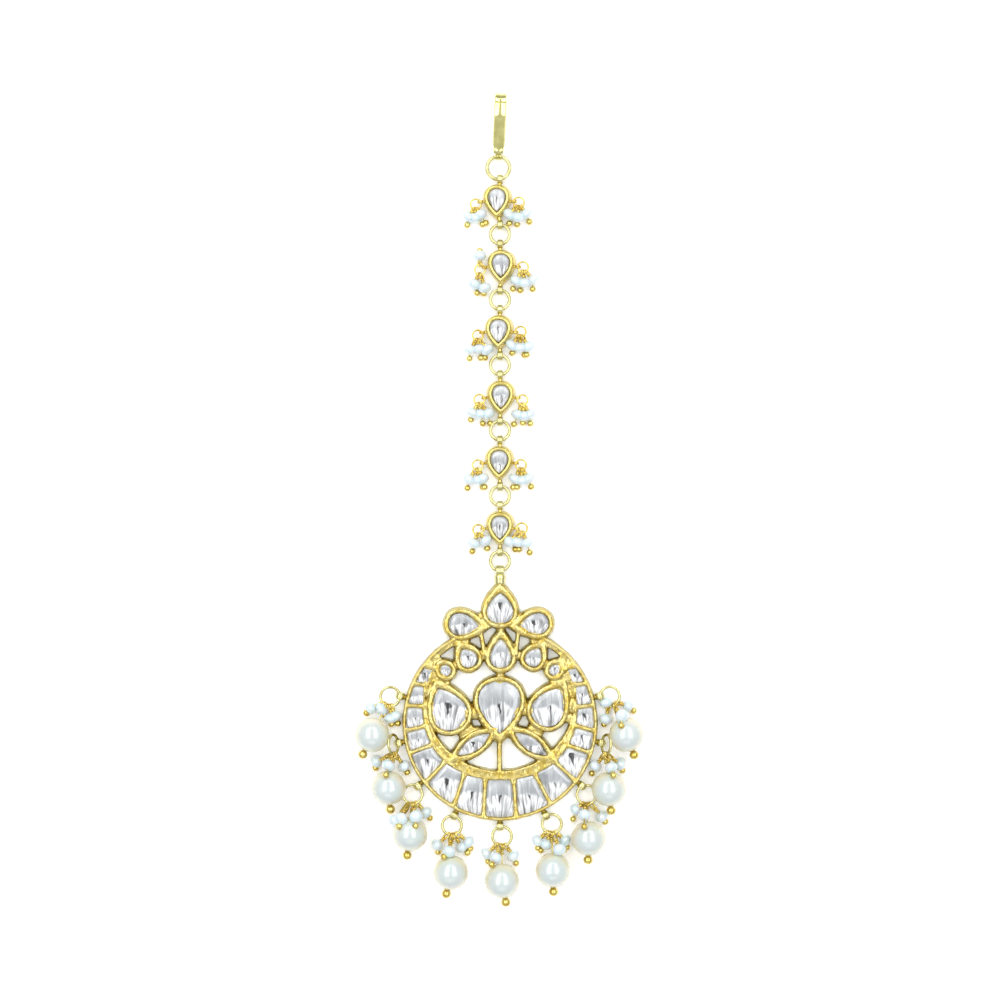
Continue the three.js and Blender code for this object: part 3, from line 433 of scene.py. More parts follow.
def foiled_stone():
    """Flat-cut clear stone over crimped silver foil, under one glassy polish, with reflections painted into its
    colour: a painted shaded upper part, a lower part with painted bright streaks that run to the foot, a painted
    dark glint in the middle, and painted shade towards its edge."""
    material, tree, shader = blank_material("foiled_flat_cut_stone")
    data = add_node(tree, "ShaderNodeAttribute", {"attribute_name": "stone_place"}).outputs["Vector"]
    parts = add_node(tree, "ShaderNodeSeparateXYZ", links={"Vector": data})
    across, up, seed = parts.outputs["X"], parts.outputs["Y"], parts.outputs["Z"]
    # The painted reflection streaks follow the angle about a point below the stone's foot; the same streaks bump
    # the foil's crimp.
    angle = maths(tree, "ARCTAN2", across, maths(tree, "ADD", up, 2.3))
    lane = add_node(tree, "ShaderNodeCombineXYZ", links={
        "X": maths(tree, "MULTIPLY", angle, 6.5), "Y": maths(tree, "MULTIPLY", up, 0.5),
        "Z": maths(tree, "MULTIPLY", seed, 9.7)}).outputs[0]
    streak = add_node(tree, "ShaderNodeTexNoise", {"Scale": 1.25, "Detail": 2.0, "Roughness": 0.55},
                      {"Vector": lane}).outputs["Fac"]
    spread = add_node(tree, "ShaderNodeCombineXYZ", links={"X": across, "Y": up, "Z": seed}).outputs[0]
    clouds = add_node(tree, "ShaderNodeTexNoise", {"Scale": 1.7, "Detail": 2.0},
                      {"Vector": spread}).outputs["Fac"]
    # The painted shaded part ends in a line that dips towards the sides.
    sag = maths(tree, "MULTIPLY", maths(tree, "POWER", maths(tree, "ABSOLUTE", across), 2.0), 0.45)
    edge = maths(tree, "ADD", up, sag)
    edge = maths(tree, "ADD", edge, maths(tree, "MULTIPLY_ADD", clouds, 0.5, -0.25))
    level = maths(tree, "MULTIPLY_ADD", maths(tree, "FRACT", maths(tree, "MULTIPLY", seed, 7.31)), 0.5, -0.25)
    edge = maths(tree, "ADD", edge, level)
    shade = stepped(tree, edge, 0.1, 0.26)
    # Painted reflections: below the line, grey and white painted streaks over the foil; above it, painted shade
    # that grows lighter towards the stone's top.
    bright = ramp_node(tree, streak, [
        (0.3, 0.12), (0.38, 0.34), (0.45, 0.55), (0.49, 0.86), (0.56, 0.96), (0.6, 0.58), (0.68, 0.4), (0.74, 0.8)])
    lower = mix_colour(tree, 1.0, colours().foil, bright, "MULTIPLY")
    soft = ramp_node(tree, streak, [(0.3, 0.72), (0.5, 1.0), (0.7, 1.2)])
    rise = mix_colour(tree, stepped(tree, up, 0.15, 0.85), colours().foil_shade, hex_colour("C9CDD0"))
    upper = mix_colour(tree, 1.0, rise, soft, "MULTIPLY")
    tone = mix_colour(tree, shade, lower, upper)
    # The painted dark glint, a reflection painted into the colour, stands just under the line, a little aside of
    # the middle.
    aside = maths(tree, "SUBTRACT", across, maths(tree, "MULTIPLY_ADD", clouds, 0.5, -0.25))
    width = maths(tree, "MULTIPLY_ADD", up, 0.2, 0.09)
    narrow = stepped(tree, maths(tree, "SUBTRACT", width, maths(tree, "ABSOLUTE", aside)), -0.015, 0.045)
    below = stepped(tree, up, -0.42, -0.22)
    above = maths(tree, "SUBTRACT", 1.0, stepped(tree, edge, 0.1, 0.2))
    painted_dark_glint = maths(tree, "MULTIPLY", maths(tree, "MULTIPLY", narrow, below), above)
    tone = mix_colour(tree, painted_dark_glint, tone, hex_colour("1E2023"))
    # Painted shade: the stone darkens towards its edge, under the setting's wall.
    outward = maths(tree, "ADD", maths(tree, "MULTIPLY", across, across), maths(tree, "MULTIPLY", up, up))
    rim = stepped(tree, outward, 0.62, 1.05)
    tone = mix_colour(tree, maths(tree, "MULTIPLY", rim, 0.35), tone, hex_colour("6E7176"))
    tree.links.new(tone, shader.inputs["Base Color"])
    shader.inputs["Metallic"].default_value = 0.1
    shader.inputs["Roughness"].default_value = 0.22
    shader.inputs["IOR"].default_value = 1.54
    shader.inputs["Coat Weight"].default_value = 1.0
    shader.inputs["Coat Roughness"].default_value = 0.03
    shader.inputs["Coat IOR"].default_value = 1.6
    crimp = bumped(tree, streak, 0.35, 0.8)
    tree.links.new(crimp, shader.inputs["Normal"])
    return material


def nacre(name, colour, blush, deep, clear, painted_top_reflection, rise):
    """Nacre of a pearl: cream white with faint pink and green clouds, a painted cool reflection that grows towards
    the top of its rise above the surface, with a soft depth and a smooth lustre."""
    material, tree, shader = blank_material(name)
    place = object_place(tree)
    clouds = noise_of(tree, place, 3.2, 2.0)
    bands = noise_of(tree, place, 0.7, 2.0)
    tone = mix_colour(tree, stepped(tree, clouds, 0.42, 0.66), colour, blush)
    tone = mix_colour(tree, maths(tree, "MULTIPLY", stepped(tree, bands, 0.45, 0.75), 0.35), tone, deep)
    # Painted reflection: the colour turns cool towards the top of the pearl.
    high = stepped(tree, height_of(tree, place), *rise)
    tone = mix_colour(tree, maths(tree, "MULTIPLY", high, 0.85), tone, painted_top_reflection)
    tree.links.new(tone, shader.inputs["Base Color"])
    tree.links.new(maths(tree, "MULTIPLY_ADD", bands, 0.1, 0.2), shader.inputs["Roughness"])
    shader.inputs["IOR"].default_value = 1.53
    shader.inputs["Subsurface Weight"].default_value = clear
    shader.inputs["Subsurface Scale"].default_value = 0.0008
    shader.inputs["Coat Weight"].default_value = 1.0
    shader.inputs["Coat Roughness"].default_value = 0.1
    shader.inputs["Coat IOR"].default_value = 1.66
    shader.inputs["Sheen Weight"].default_value = 0.15
    tree.links.new(bumped(tree, bands, 0.02, 0.5), shader.inputs["Normal"])
    return material


def floor_paint():
    """Matt white card on a light table: faintly uneven, with a weak glow that keeps the shadows pale."""
    material, tree, shader = blank_material("matt_white_card")
    place = object_place(tree)
    tone = mix_colour(tree, noise_of(tree, place, 60, 2.0), colours().floor, hex_colour("F6F6F5"))
    tree.links.new(tone, shader.inputs["Base Color"])
    shader.inputs["Roughness"].default_value = 0.85
    shader.inputs["Emission Color"].default_value = hex_colour("FFFFFF")
    shader.inputs["Emission Strength"].default_value = 0.2
    tree.links.new(bumped(tree, noise_of(tree, place, 2.0), 0.02), shader.inputs["Normal"])
    return material


def material_of(name):
    """The named finish, made when it is first asked for."""
    makers = {
        "kundan_gold_painted_shade": kundan_gold_with_painted_shade,
        "drawn_pale_gold": lambda: drawn_metal(
            "drawn_pale_gold", colours().ring_gold, 0.14, 0.25, 0.02, hex_colour("C6BD82")),
        "deep_gold_wire": lambda: drawn_metal(
            "deep_gold_wire", colours().wire_gold, 0.16, 0.2, 0.015, hex_colour("D2B558")),
        "satin_strip_gold": lambda: drawn_metal(
            "satin_strip_gold", colours().strip_gold, 0.1, 0.4, 0.01, hex_colour("DDD88C")),
        "polished_bezel_gold": lambda: drawn_metal(
            "polished_bezel_gold", colours().gold, 0.16, 0.5, 0.04, hex_colour("D8C570")),
        "foiled_flat_cut_stone": foiled_stone,
        "pearl_nacre": lambda: nacre(
            "pearl_nacre", colours().pearl, hex_colour("E0D2AE"), hex_colour("C9D2C4"), 0.12,
            # Painted reflection: the cool top colour, then the heights in millimetres over which it comes in.
            hex_colour("C6D4D8"),
            (4.0, 5.9)),
        "seed_pearl_nacre": lambda: nacre(
            "seed_pearl_nacre", colours().seed, hex_colour("DCE5E8"), hex_colour("BFD3DC"), 0.25,
            # Painted reflection: the cool top colour, then the heights in millimetres over which it comes in.
            hex_colour("D3E3EA"),
            (1.2, 2.1)),
        "matt_white_card": floor_paint,
    }
    return bpy.data.materials.get(name) or makers[name]()


# Shared forms, all in millimetres from the pendant's middle


def add_mesh(form, mesh, slot, smooth=True):
    """Adds a mesh to the form in one material slot, and removes the mesh."""
    before = len(form.faces)
    form.from_mesh(mesh)
    form.faces.ensure_lookup_table()
    for face in form.faces[before:]:
        face.material_index = slot
        face.smooth = smooth
    bpy.data.meshes.remove(mesh)


def add_wires(form, wires, slot):
    """Round wires along points: each is (points, thickness, closed)."""
    curve = bpy.data.curves.new("wires", "CURVE")
    curve.dimensions = "3D"
    curve.bevel_depth = 1.0
    curve.bevel_resolution = 3
    curve.use_fill_caps = True
    for points, thickness, closed in wires:
        spline = curve.splines.new("POLY")
        spline.points.add(len(points) - 1)
        for mark, point in zip(spline.points, points):
            mark.co = (*point, 1)
            mark.radius = thickness / 2
        spline.use_cyclic_u = closed
    maker = bpy.data.objects.new("wires", curve)
    add_mesh(form, bpy.data.meshes.new_from_object(maker), slot)
    bpy.data.objects.remove(maker)
    bpy.data.curves.remove(curve)


def ring_points(middle, radius, normal, steps=32):
    """Points of a circle about the middle, square to the normal."""
    turn = Vector((0, 0, 1)).rotation_difference(normal).to_matrix()
    points = []
    for step in range(steps):
        angle = step / steps * math.tau
        points.append(middle + turn @ Vector((math.cos(angle), math.sin(angle), 0)) * radius)
    return points


def add_bead(form, middle, width, length, way, slot, sides=24):
    """A round bead, its length along the given way."""
    turn = Vector((0, 0, 1)).rotation_difference(way).to_matrix().to_4x4()
    shape = Matrix.Translation(middle) @ turn @ Matrix.Diagonal((width / 2, width / 2, length / 2, 1))
    made = bmesh.ops.create_uvsphere(
        form, u_segments=sides, v_segments=sides * 2 // 3, radius=1, matrix=shape)
    for face in {face for vert in made["verts"] for face in vert.link_faces}:
        face.material_index = slot
        face.smooth = True


def closed_loop(form, points):
    """A closed loop of edges through the points."""
    verts = [form.verts.new(point) for point in points]
    return [form.edges.new((vert, verts[index - 1])) for index, vert in enumerate(verts)]


def add_rows(form, rows, slot, smooth=True, closed=False):
    """A body through rows of points, bridged in order. Open bodies are capped at both ends."""
    part = bmesh.new()
    loops = [closed_loop(part, row) for row in rows]
    for first, second in zip(loops, loops[1:]):
        bmesh.ops.bridge_loops(part, edges=first + second)
    if closed:
        bmesh.ops.bridge_loops(part, edges=loops[-1] + loops[0])
    else:
        for loop in (loops[0], loops[-1]):
            bmesh.ops.edgeloop_fill(part, edges=loop)
    bmesh.ops.recalc_face_normals(part, faces=part.faces[:])
    mesh = bpy.data.meshes.new("rows")
    part.to_mesh(mesh)
    part.free()
    add_mesh(form, mesh, slot, smooth)


def finish_piece(form, name, materials, nodes):
    """Makes the form a piece in the frame, in metres, that stands for its CAD nodes. Its heights are scaled
    down where it would stand over PRESS_TOP, and what dips below the surface is flattened onto it."""
    settle = min(1.0, PRESS_TOP / max(vert.co.z for vert in form.verts))
    for vert in form.verts:
        vert.co.z = max(vert.co.z * settle, 0.0)
    bmesh.ops.scale(form, vec=(MM, MM, MM), verts=form.verts)
    bmesh.ops.translate(form, vec=pendant_middle(), verts=form.verts)
    mesh = bpy.data.meshes.new(name)
    form.to_mesh(mesh)
    form.free()
    for material in materials:
        mesh.materials.append(material_of(material))
    piece = bpy.data.objects.new(name, mesh)
    bpy.context.scene.collection.objects.link(piece)
    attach(piece, "root")
    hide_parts(*nodes)
    return piece


def towards(degrees):
    """The flat direction at this turn from the jewel's right."""
    return Vector((math.cos(math.radians(degrees)), math.sin(math.radians(degrees)), 0))


def mixed(low, high, share):
    """The value at a share of the way from low to high."""
    return low + (high - low) * share


# Outlines


def leaf_width(turn, tip, heel):
    """How wide a leaf outline is at this turn."""
    return math.sin(turn) * math.sin(turn / 2) ** tip * abs(math.cos(turn / 2)) ** heel


def leaf_outline(middle, long, wide, point, tip, heel, steps):
    """A drop, oval or slim leaf outline, its point turned to the given direction."""
    widest = max(leaf_width(math.radians(2 * i), tip, heel) for i in range(90))
    aim = Matrix.Rotation(math.radians(point - 90), 2)
    outline = []
    for step in range(steps):
        turn = step / steps * math.tau
        half = abs(leaf_width(turn, tip, heel)) * math.copysign(1, math.sin(turn)) / widest * wide / 2
        outline.append(middle + aim @ Vector((-half, math.cos(turn) * long / 2)))
    return outline


def lotus_outline(name, margin, steps):
    """The outline of a lotus stone, let out by a margin."""
    x, y, long, wide, point, tip, heel = LOTUS[name]
    slide = towards(point).xy * (margin * TIP_WALLS * (tip - heel) / 2)
    length = long * DISC + margin * (2 + TIP_WALLS * (tip + heel))
    width = wide * DISC + 2 * margin
    return leaf_outline(Vector((x, y)) * DISC + slide, length, width, point, tip, heel, steps)


def bar_outline(start, end, width, flare):
    """A straight bar between two places, its rounded ends as much wider as the flare says."""
    start, end = Vector(start), Vector(end)
    along = (end - start).normalized()
    side = Vector((-along.y, along.x)) * (width / 2)
    tip = along * (width * 0.18)
    neck = along * ((end - start).length * 0.22)
    outline = []
    for place, sign in ((start, -1), (end, 1)):
        outline.append(place - neck * sign - side * sign)
        outline.append(place - side * sign * flare)
        outline.append(place + tip * sign - side * sign * flare * 0.5)
        outline.append(place + tip * sign + side * sign * flare * 0.5)
        outline.append(place + side * sign * flare)
        outline.append(place - neck * sign + side * sign)
    return outline


def at_height(outline, height):
    """Flat points lifted to one height."""
    return [Vector((point.x, point.y, height)) for point in outline]


def field_reach(turn):
    """How far from the middle the open field's edge lies at this turn from straight down."""
    fall = FIELD[0] * math.cos(turn)
    reach = -fall + math.sqrt(FIELD[1] ** 2 - (FIELD[0] * math.sin(turn)) ** 2)
    return min(reach * DISC, DISC - RIM_WALL)


def pocket_reach(turn):
    """How far from the middle the crescent's stones begin at this turn from straight down."""
    degrees = abs(math.degrees(turn))
    for (low, near), (high, far) in zip(POCKETS, POCKETS[1:]):
        if degrees <= high:
            share = (degrees - low) / (high - low)
            return mixed(near, far, share) * DISC
    return DISC - RIM_WALL


def polar(turn, distance, height=0.0):
    """A place at this turn from straight down."""
    return Vector((distance * math.sin(turn), -distance * math.cos(turn), height))


def divider_turns(sign, index):
    """A divider's turns near the open field and at the rim."""
    return [math.radians(sign * degrees) for degrees in DIVIDERS[sign][index]]


def crescent_cells():
    """The two dividers that bound each cell of the crescent."""
    cells = [(divider_turns(-1, 0), divider_turns(1, 0))]
    for index in range(len(DIVIDERS[1]) - 1):
        cells.append((divider_turns(1, index), divider_turns(1, index + 1)))
        cells.append((divider_turns(-1, index + 1), divider_turns(-1, index)))
    return cells


def cell_outline(low, high, margin):
    """The outline of one crescent stone between two dividers."""
    half = DIVIDER_WIDTH / 2 + margin
    outline = []
    far = DISC - RIM_WALL - margin
    for step in range(7):
        outline.append(polar(mixed(low[1] + half / far, high[1] - half / far, step / 6), far).xy)
    for step in range(6, -1, -1):
        near = pocket_reach(mixed(low[0], high[0], step / 6)) + margin
        outline.append(polar(mixed(low[0] + half / near, high[0] - half / near, step / 6), near).xy)
    return outline


# The pendant's gold


# The section of a burnished wall round a stone: how far out from the stone, and how high.
WALL_SECTION = [
    (1.2, 0.0), (1.17, 0.6), (1.12, 1.2), (1.05, 1.65), (0.96, 1.98), (0.8, 2.2), (0.6, 2.32), (0.36, 2.34),
    (0.17, 2.24), (0.06, 2.05), (0.0, 1.85), (-0.06, 1.6)]


def add_setting(form, name):
    """One closed setting of the lotus, its wall rounded over the stone's edge."""
    rows = [at_height(lotus_outline(name, margin, 40), height) for margin, height in WALL_SECTION]
    add_rows(form, rows, 0)


def add_bar(form, start, end, width, top, flare=1.0):
    """A bar of gold with a rounded back between two places."""
    section = [(1.06, 0.0), (1.0, top - 0.5), (0.84, top - 0.2), (0.5, top - 0.04), (0.25, top)]
    rows = [at_height(bar_outline(start, end, width * share, flare), height) for share, height in section]
    add_rows(form, rows, 0)


def add_arc(form, section, last, steps):
    """A band that follows the crescent to both sides, its section given at each turn."""
    rows = []
    for step in range(steps + 1):
        turn = math.radians(mixed(-last, last, step / steps))
        rows.append([polar(turn, distance, height) for distance, height in section(turn)])
    add_rows(form, rows, 0)


def rim_section(_turn):
    """The thin outer rim."""
    near = DISC - RIM_WALL
    return [(near, 0), (near, 1.85), (near + 0.12, 2.12), (near + 0.34, 2.28), (near + 0.56, 2.2),
            (DISC - 0.08, 1.9), (DISC + 0.04, 1.3), (DISC + 0.1, 0)]


def band_section(turn):
    """The band between the open field and the crescent's stones."""
    near = field_reach(turn)
    far = max(min(pocket_reach(turn), DISC - RIM_WALL), near + 0.5)
    middle = (near + far) / 2
    return [(near - 0.06, 0), (near, 1.3), (near + 0.08, 1.86), (near + 0.28, 2.14), (middle, 2.1),
            (far - 0.24, 2.24), (far - 0.06, 2.05), (far, 1.6), (far, 0)]


def foil_bed_section(turn):
    """The bed under the crescent's stones."""
    near = field_reach(turn) + 0.2
    return [(near, 0), (near, STONE_SEAT), (DISC - 0.2, STONE_SEAT), (DISC - 0.2, 0)]


def add_horn(form, sign, last, near):
    """One solid end of the crescent past its last stones, in from the rim to the given distance."""
    rows = []
    for step in range(9):
        turn = sign * mixed(math.radians(DIVIDERS[sign][-1][1] - 1), math.radians(last), step / 8)
        section = [(near, 0), (near, 1.7), (near + 0.15, 2.05), (DISC - 0.5, 2.12), (DISC - 0.4, 0)]
        rows.append([polar(turn, distance, height) for distance, height in section])
    add_rows(form, rows, 0)


def eye_place(index):
    """The middle of the hole of a rim eye, and the way the eye looks."""
    turn = 270 + (index - (len(DROPS) - 1) / 2) * DROP_STEP
    return towards(turn) * (DISC + EYE_REACH) + Vector((0, 0, RING_HEIGHT)), towards(turn)


def eye_wires(middle, way, hole, wire):
    """A round wire eye whose hole looks sideways, square to its way."""
    across = way.cross(Vector((0, 0, 1)))
    return (ring_points(middle, hole + wire / 2, across, 20), wire, True)


def fused(form, triangles):
    """One body of the form's gold: fused, rubbed soft, and left slightly uneven as by hand."""
    mesh = bpy.data.meshes.new("fused_gold")
    form.to_mesh(mesh)
    form.free()
    maker = bpy.data.objects.new("fused_gold", mesh)
    bpy.context.scene.collection.objects.link(maker)
    remesh = maker.modifiers.new("Fuse", "REMESH")
    remesh.mode = "VOXEL"
    remesh.voxel_size = VOXEL
    smooth = maker.modifiers.new("Rub", "SMOOTH")
    smooth.factor = 0.5
    smooth.iterations = 2
    for size, share in ((1.5, 1.0), (0.55, 0.4)):
        texture = bpy.data.textures.new("Hand", "CLOUDS")
        texture.noise_scale = size
        texture.noise_depth = 1
        dent = maker.modifiers.new("Hand", "DISPLACE")
        dent.texture = texture
        dent.texture_coords = "LOCAL"
        dent.strength = sizes().hammering / MM * 2 * share
        dent.mid_level = 0.5
    graph = bpy.context.evaluated_depsgraph_get()
    made = bpy.data.meshes.new_from_object(maker.evaluated_get(graph), depsgraph=graph)
    count = sum(len(face.vertices) - 2 for face in made.polygons)
    maker.modifiers.clear()
    maker.data = made
    thin = maker.modifiers.new("Thin", "DECIMATE")
    thin.ratio = min(1.0, triangles / count)
    graph = bpy.context.evaluated_depsgraph_get()
    result = bpy.data.meshes.new_from_object(maker.evaluated_get(graph), depsgraph=graph)
    bpy.data.objects.remove(maker)
    bpy.data.meshes.remove(made)
    bpy.data.meshes.remove(mesh)
    return result


# Its measure drives the gold's painted crease shade and painted ridge highlight.
def mark_hollows(form):
    """Stores on the gold how deep each place lies in a hollow, or how far it stands out, in millimetres."""
    layer = form.verts.layers.float.new("hollow")
    form.normal_update()
    soft = form.copy()
    for _round in range(16):
        bmesh.ops.smooth_vert(
            soft, verts=soft.verts, factor=0.5, use_axis_x=True, use_axis_y=True, use_axis_z=True)
    for vert, smoothed in zip(form.verts, soft.verts):
        vert[layer] = (smoothed.co - vert.co).dot(vert.normal)
    soft.free()


def pendant_gold_form():
    """The whole gold of the pendant, from its settings, bands, bars and fillings."""
    form = bmesh.new()
    for name in LOTUS:
        add_setting(form, name)
    last = DIVIDERS[1][-1][0] + 1
    add_arc(form, foil_bed_section, last, 120)
    add_arc(form, band_section, last, 120)
    add_arc(form, rim_section, RIM_END, 150)
    for sign in (-1, 1):
        add_horn(form, sign, HORN_END, HORN_REACH * DISC)
        add_horn(form, sign, RIM_END, DISC - HORN_WALL)
        for index in range(len(DIVIDERS[sign])):
            near, far = divider_turns(sign, index)
            start = polar(near, pocket_reach(near) - 0.3).xy
            add_bar(form, start, polar(far, DISC - 0.35).xy, DIVIDER_WIDTH, 2.24, 1.9)
    for first, second in FILLS:
        start, end = (Vector(LOTUS[name][:2]) * DISC for name in (first, second))
        add_bar(form, start, end, 1.7, 2.0)
    for start, end, width, top in WEBS:
        add_bar(form, Vector(start) * DISC, Vector(end) * DISC, width, top)
    for start, end in RIBS:
        add_bar(form, Vector(start) * DISC, Vector(end) * DISC, 0.85, 2.2)
    foot = Vector((LOTUS["stone_main_centre"][0], FIELD[0] - FIELD[1] - 0.02)) * DISC
    top = Vector((LOTUS["stone_main_centre"][0], LOTUS["stone_main_centre"][1] - 0.3)) * DISC
    add_bar(form, foot, top, 0.95, 2.12)
    return form


def petal_top():
    """How far up the uppermost setting reaches."""
    margin = 1.06
    return max(point.y for point in lotus_outline("stone_top_petal", margin, 40))


def add_bail(form):
    """The bail: a short ribbed barrel on the top petal, and the pale eye of the chain's last ring."""
    low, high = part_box("chain_ring_6")
    ring_y = (low[1] - pendant_middle().y) / MM + CHAIN_RING[1]
    foot = petal_top() - 0.9
    rows = []
    ribs = ((0, 0.5), (0.12, 0.8), (0.3, 0.98), (0.5, 0.92), (0.66, 1.02), (0.8, 1.05), (0.93, 0.85), (1, 0.5))
    for share, radius in ribs:
        y = mixed(foot, ring_y - 0.55, share)
        rows.append([Vector((math.cos(a) * radius * 1.0, y, RING_HEIGHT + math.sin(a) * radius * 0.85))
                     for a in (step / 20 * math.tau for step in range(20))])
    add_rows(form, rows, 1)
    for turn in (-0.5, -0.25, 0, 0.25, 0.5):
        eye = eye_wires(Vector((turn, ring_y, RING_HEIGHT)), Vector((0, 1, 0)), 0.55, 0.46)
        add_wires(form, [eye], 1)


def add_rim_eyes(form):
    """The nine pale eyes of the rim, each a plump wire ring on a small collar."""
    for index in range(len(DROPS)):
        middle, way = eye_place(index)
        across = way.cross(Vector((0, 0, 1)))
        for side, swell in ((-0.44, 0.36), (-0.22, 0.44), (0.0, 0.48), (0.22, 0.44), (0.44, 0.36)):
            add_wires(form, [eye_wires(middle - way * 0.12 + across * side, way, 0.42, swell)], 1)
        collar = [(-1.3, 0.42), (-0.95, 0.5), (-0.7, 0.4), (-0.55, 0.3)]
        rows = []
        for back, radius in collar:
            centre = middle + way * back
            rows.append([centre + across * math.cos(a) * radius + Vector((0, 0, math.sin(a) * radius))
                         for a in (step / 14 * math.tau for step in range(14))])
        add_rows(form, rows, 0)


# Stones


def add_stone(form, outline, seat, top, tilt, seed):
    """A flat-cut stone: straight girdle, faceted crown, and a table that tilts a little."""
    kinds = form.verts.layers.float_vector
    layer = kinds.get("stone_place") or kinds.new("stone_place")
    start = len(form.verts)
    middle = sum(outline, Vector((0, 0))) / len(outline)
    crown = sizes().crown / MM
    rows = []
    steps = ((0.94, seat), (1.0, seat + 0.15), (1.0, top - crown), (0.86, top - crown * 0.35), (0.66, top))
    for share, height in steps:
        row = []
        for point in outline:
            flat = middle + (point - middle) * share
            lean = (flat - middle).dot(tilt) if height > top - crown - 0.01 else 0
            row.append(Vector((flat.x, flat.y, height + lean)))
        rows.append(row)
    add_rows(form, rows, 0, smooth=False)
    half_x = max(abs(point.x - middle.x) for point in outline)
    half_y = max(abs(point.y - middle.y) for point in outline)
    form.verts.ensure_lookup_table()
    for vert in form.verts[start:]:
        vert[layer] = ((vert.co.x - middle.x) / half_x, (vert.co.y - middle.y) / half_y, seed)


# Wires and beads of the drops


def long_loop(start, end, normal, half_width, wire):
    """A long narrow wire loop from round a ring towards a bead."""
    middle, along = (start + end) / 2, (end - start) / 2
    side = along.cross(normal).normalized() * half_width
    turns = (step / 20 * math.tau for step in range(20))
    points = [middle + along * math.cos(a) + side * math.sin(a) for a in turns]
    return (points, wire, True)


def wrapped_neck(start, way, turns, radius, wire, length):
    """The wire wound round itself above a bead."""
    side = way.orthogonal().normalized()
    other = way.cross(side)
    steps = int(turns * 10)
    points = []
    for step in range(steps + 1):
        angle = step / 10 * math.tau
        out = (side * math.cos(angle) + other * math.sin(angle)) * radius
        points.append(start + way * (length * step / steps) + out)
    return (points, wire, False)


def add_dangle(form, hang, bead, ball, size, thickness, ball_size, draw):
    """A seed pearl on its pin: a loop on the ring, a wound neck, the pearl and the ball end."""
    pin = sizes().pin / MM
    way = (bead - hang).normalized()
    up = Vector((draw.uniform(-0.35, 0.35), draw.uniform(-0.35, 0.35), 1)).normalized()
    back = hang - way * 0.36
    near = bead - way * (thickness / 2)
    neck = mixed(back, near, 0.6)
    wires = [
        long_loop(back, mixed(back, near, 0.78), up, 0.36, pin),
        long_loop(back - way * 0.06, mixed(back, near, 0.6), up.cross(way) + up * 0.6, 0.42, pin * 0.9),
        wrapped_neck(neck, way, 2.5, pin * 0.9, pin * 0.85, max(0.4, (near - neck).length)),
        ([neck, bead], pin, False),
        ([bead, ball], pin * 0.9, False),
    ]
    add_wires(form, wires, 1)
    add_bead(form, bead, size * draw.uniform(0.96, 1.05), thickness * draw.uniform(0.95, 1.05), way, 0, 26)
    add_bead(form, ball, ball_size * draw.uniform(0.94, 1.06), ball_size * draw.uniform(0.94, 1.0),
             (ball - bead).normalized(), 1, 18)


def drop_ring(index):
    """A drop's ring: its middle, its normal, and the lowest point that the pearl hangs from."""
    lean, hang, stand = DROPS[index][:3]
    eye, _way = eye_place(index)
    flat = towards(lean)
    out = flat * math.cos(math.radians(stand)) + Vector((0, 0, math.sin(math.radians(stand))))
    normal = out.cross(Vector((0, 0, 1)).cross(flat)).normalized()
    middle = eye + out * DROP_RING[0]
    pull = towards(hang)
    foot = middle + (pull - normal * pull.dot(normal)).normalized() * DROP_RING[0]
    return middle, normal, foot


def pearl_place(index):
    """The middle of a drop's pearl."""
    _middle, _normal, foot = drop_ring(index)
    place = foot + towards(DROPS[index][1]) * (PEARL_REACH * DROPS[index][3] - DROP_RING[0])
    place.z = sizes().pearl / MM / 2
    return place


def resting_height(flat, radius, under):
    """How high a ball lies: on the surface, or on the upper half of a pearl that it overlaps in plan."""
    height = radius
    for place in under:
        reach = sizes().pearl / MM / 2 + radius
        gap = math.hypot(flat.x - place.x, flat.y - place.y)
        if gap < reach * 0.97:
            height = max(height, place.z + math.sqrt(reach ** 2 - gap ** 2) * 0.98)
    return height


def drop_pearl_form(index):
    """A pearl on its headpin with a wound loop and a ball end."""
    form = bmesh.new()
    pearl = sizes().pearl / MM
    pin = sizes().pin / MM
    ball = sizes().pearl_ball / MM
    middle, normal, foot = drop_ring(index)
    place = pearl_place(index)
    radial = (foot - middle).normalized()
    start = foot + radial * 0.32
    along = (place - start).normalized()
    neck = start + along * 0.4
    out = towards(270 + DROPS[index][4])
    end = place + out * ((pearl + ball) / 2 - 0.12)
    tangent = normal.cross(radial)
    add_wires(form, [
        (ring_points(foot + radial * 0.12, 0.52, tangent, 20), pin, True),
        (ring_points(foot + radial * 0.1 + tangent * 0.26, 0.5, tangent + radial * 0.15, 20), pin * 0.9, True),
        wrapped_neck(neck, along, 3, pin * 0.95, pin * 0.85, 0.95),
        ([neck, place], pin, False),
    ], 1)
    add_bead(form, place, pearl, pearl * 0.985, along, 0, 56)
    add_bead(form, end, ball, ball * 0.97, out, 1, 24)
    return form


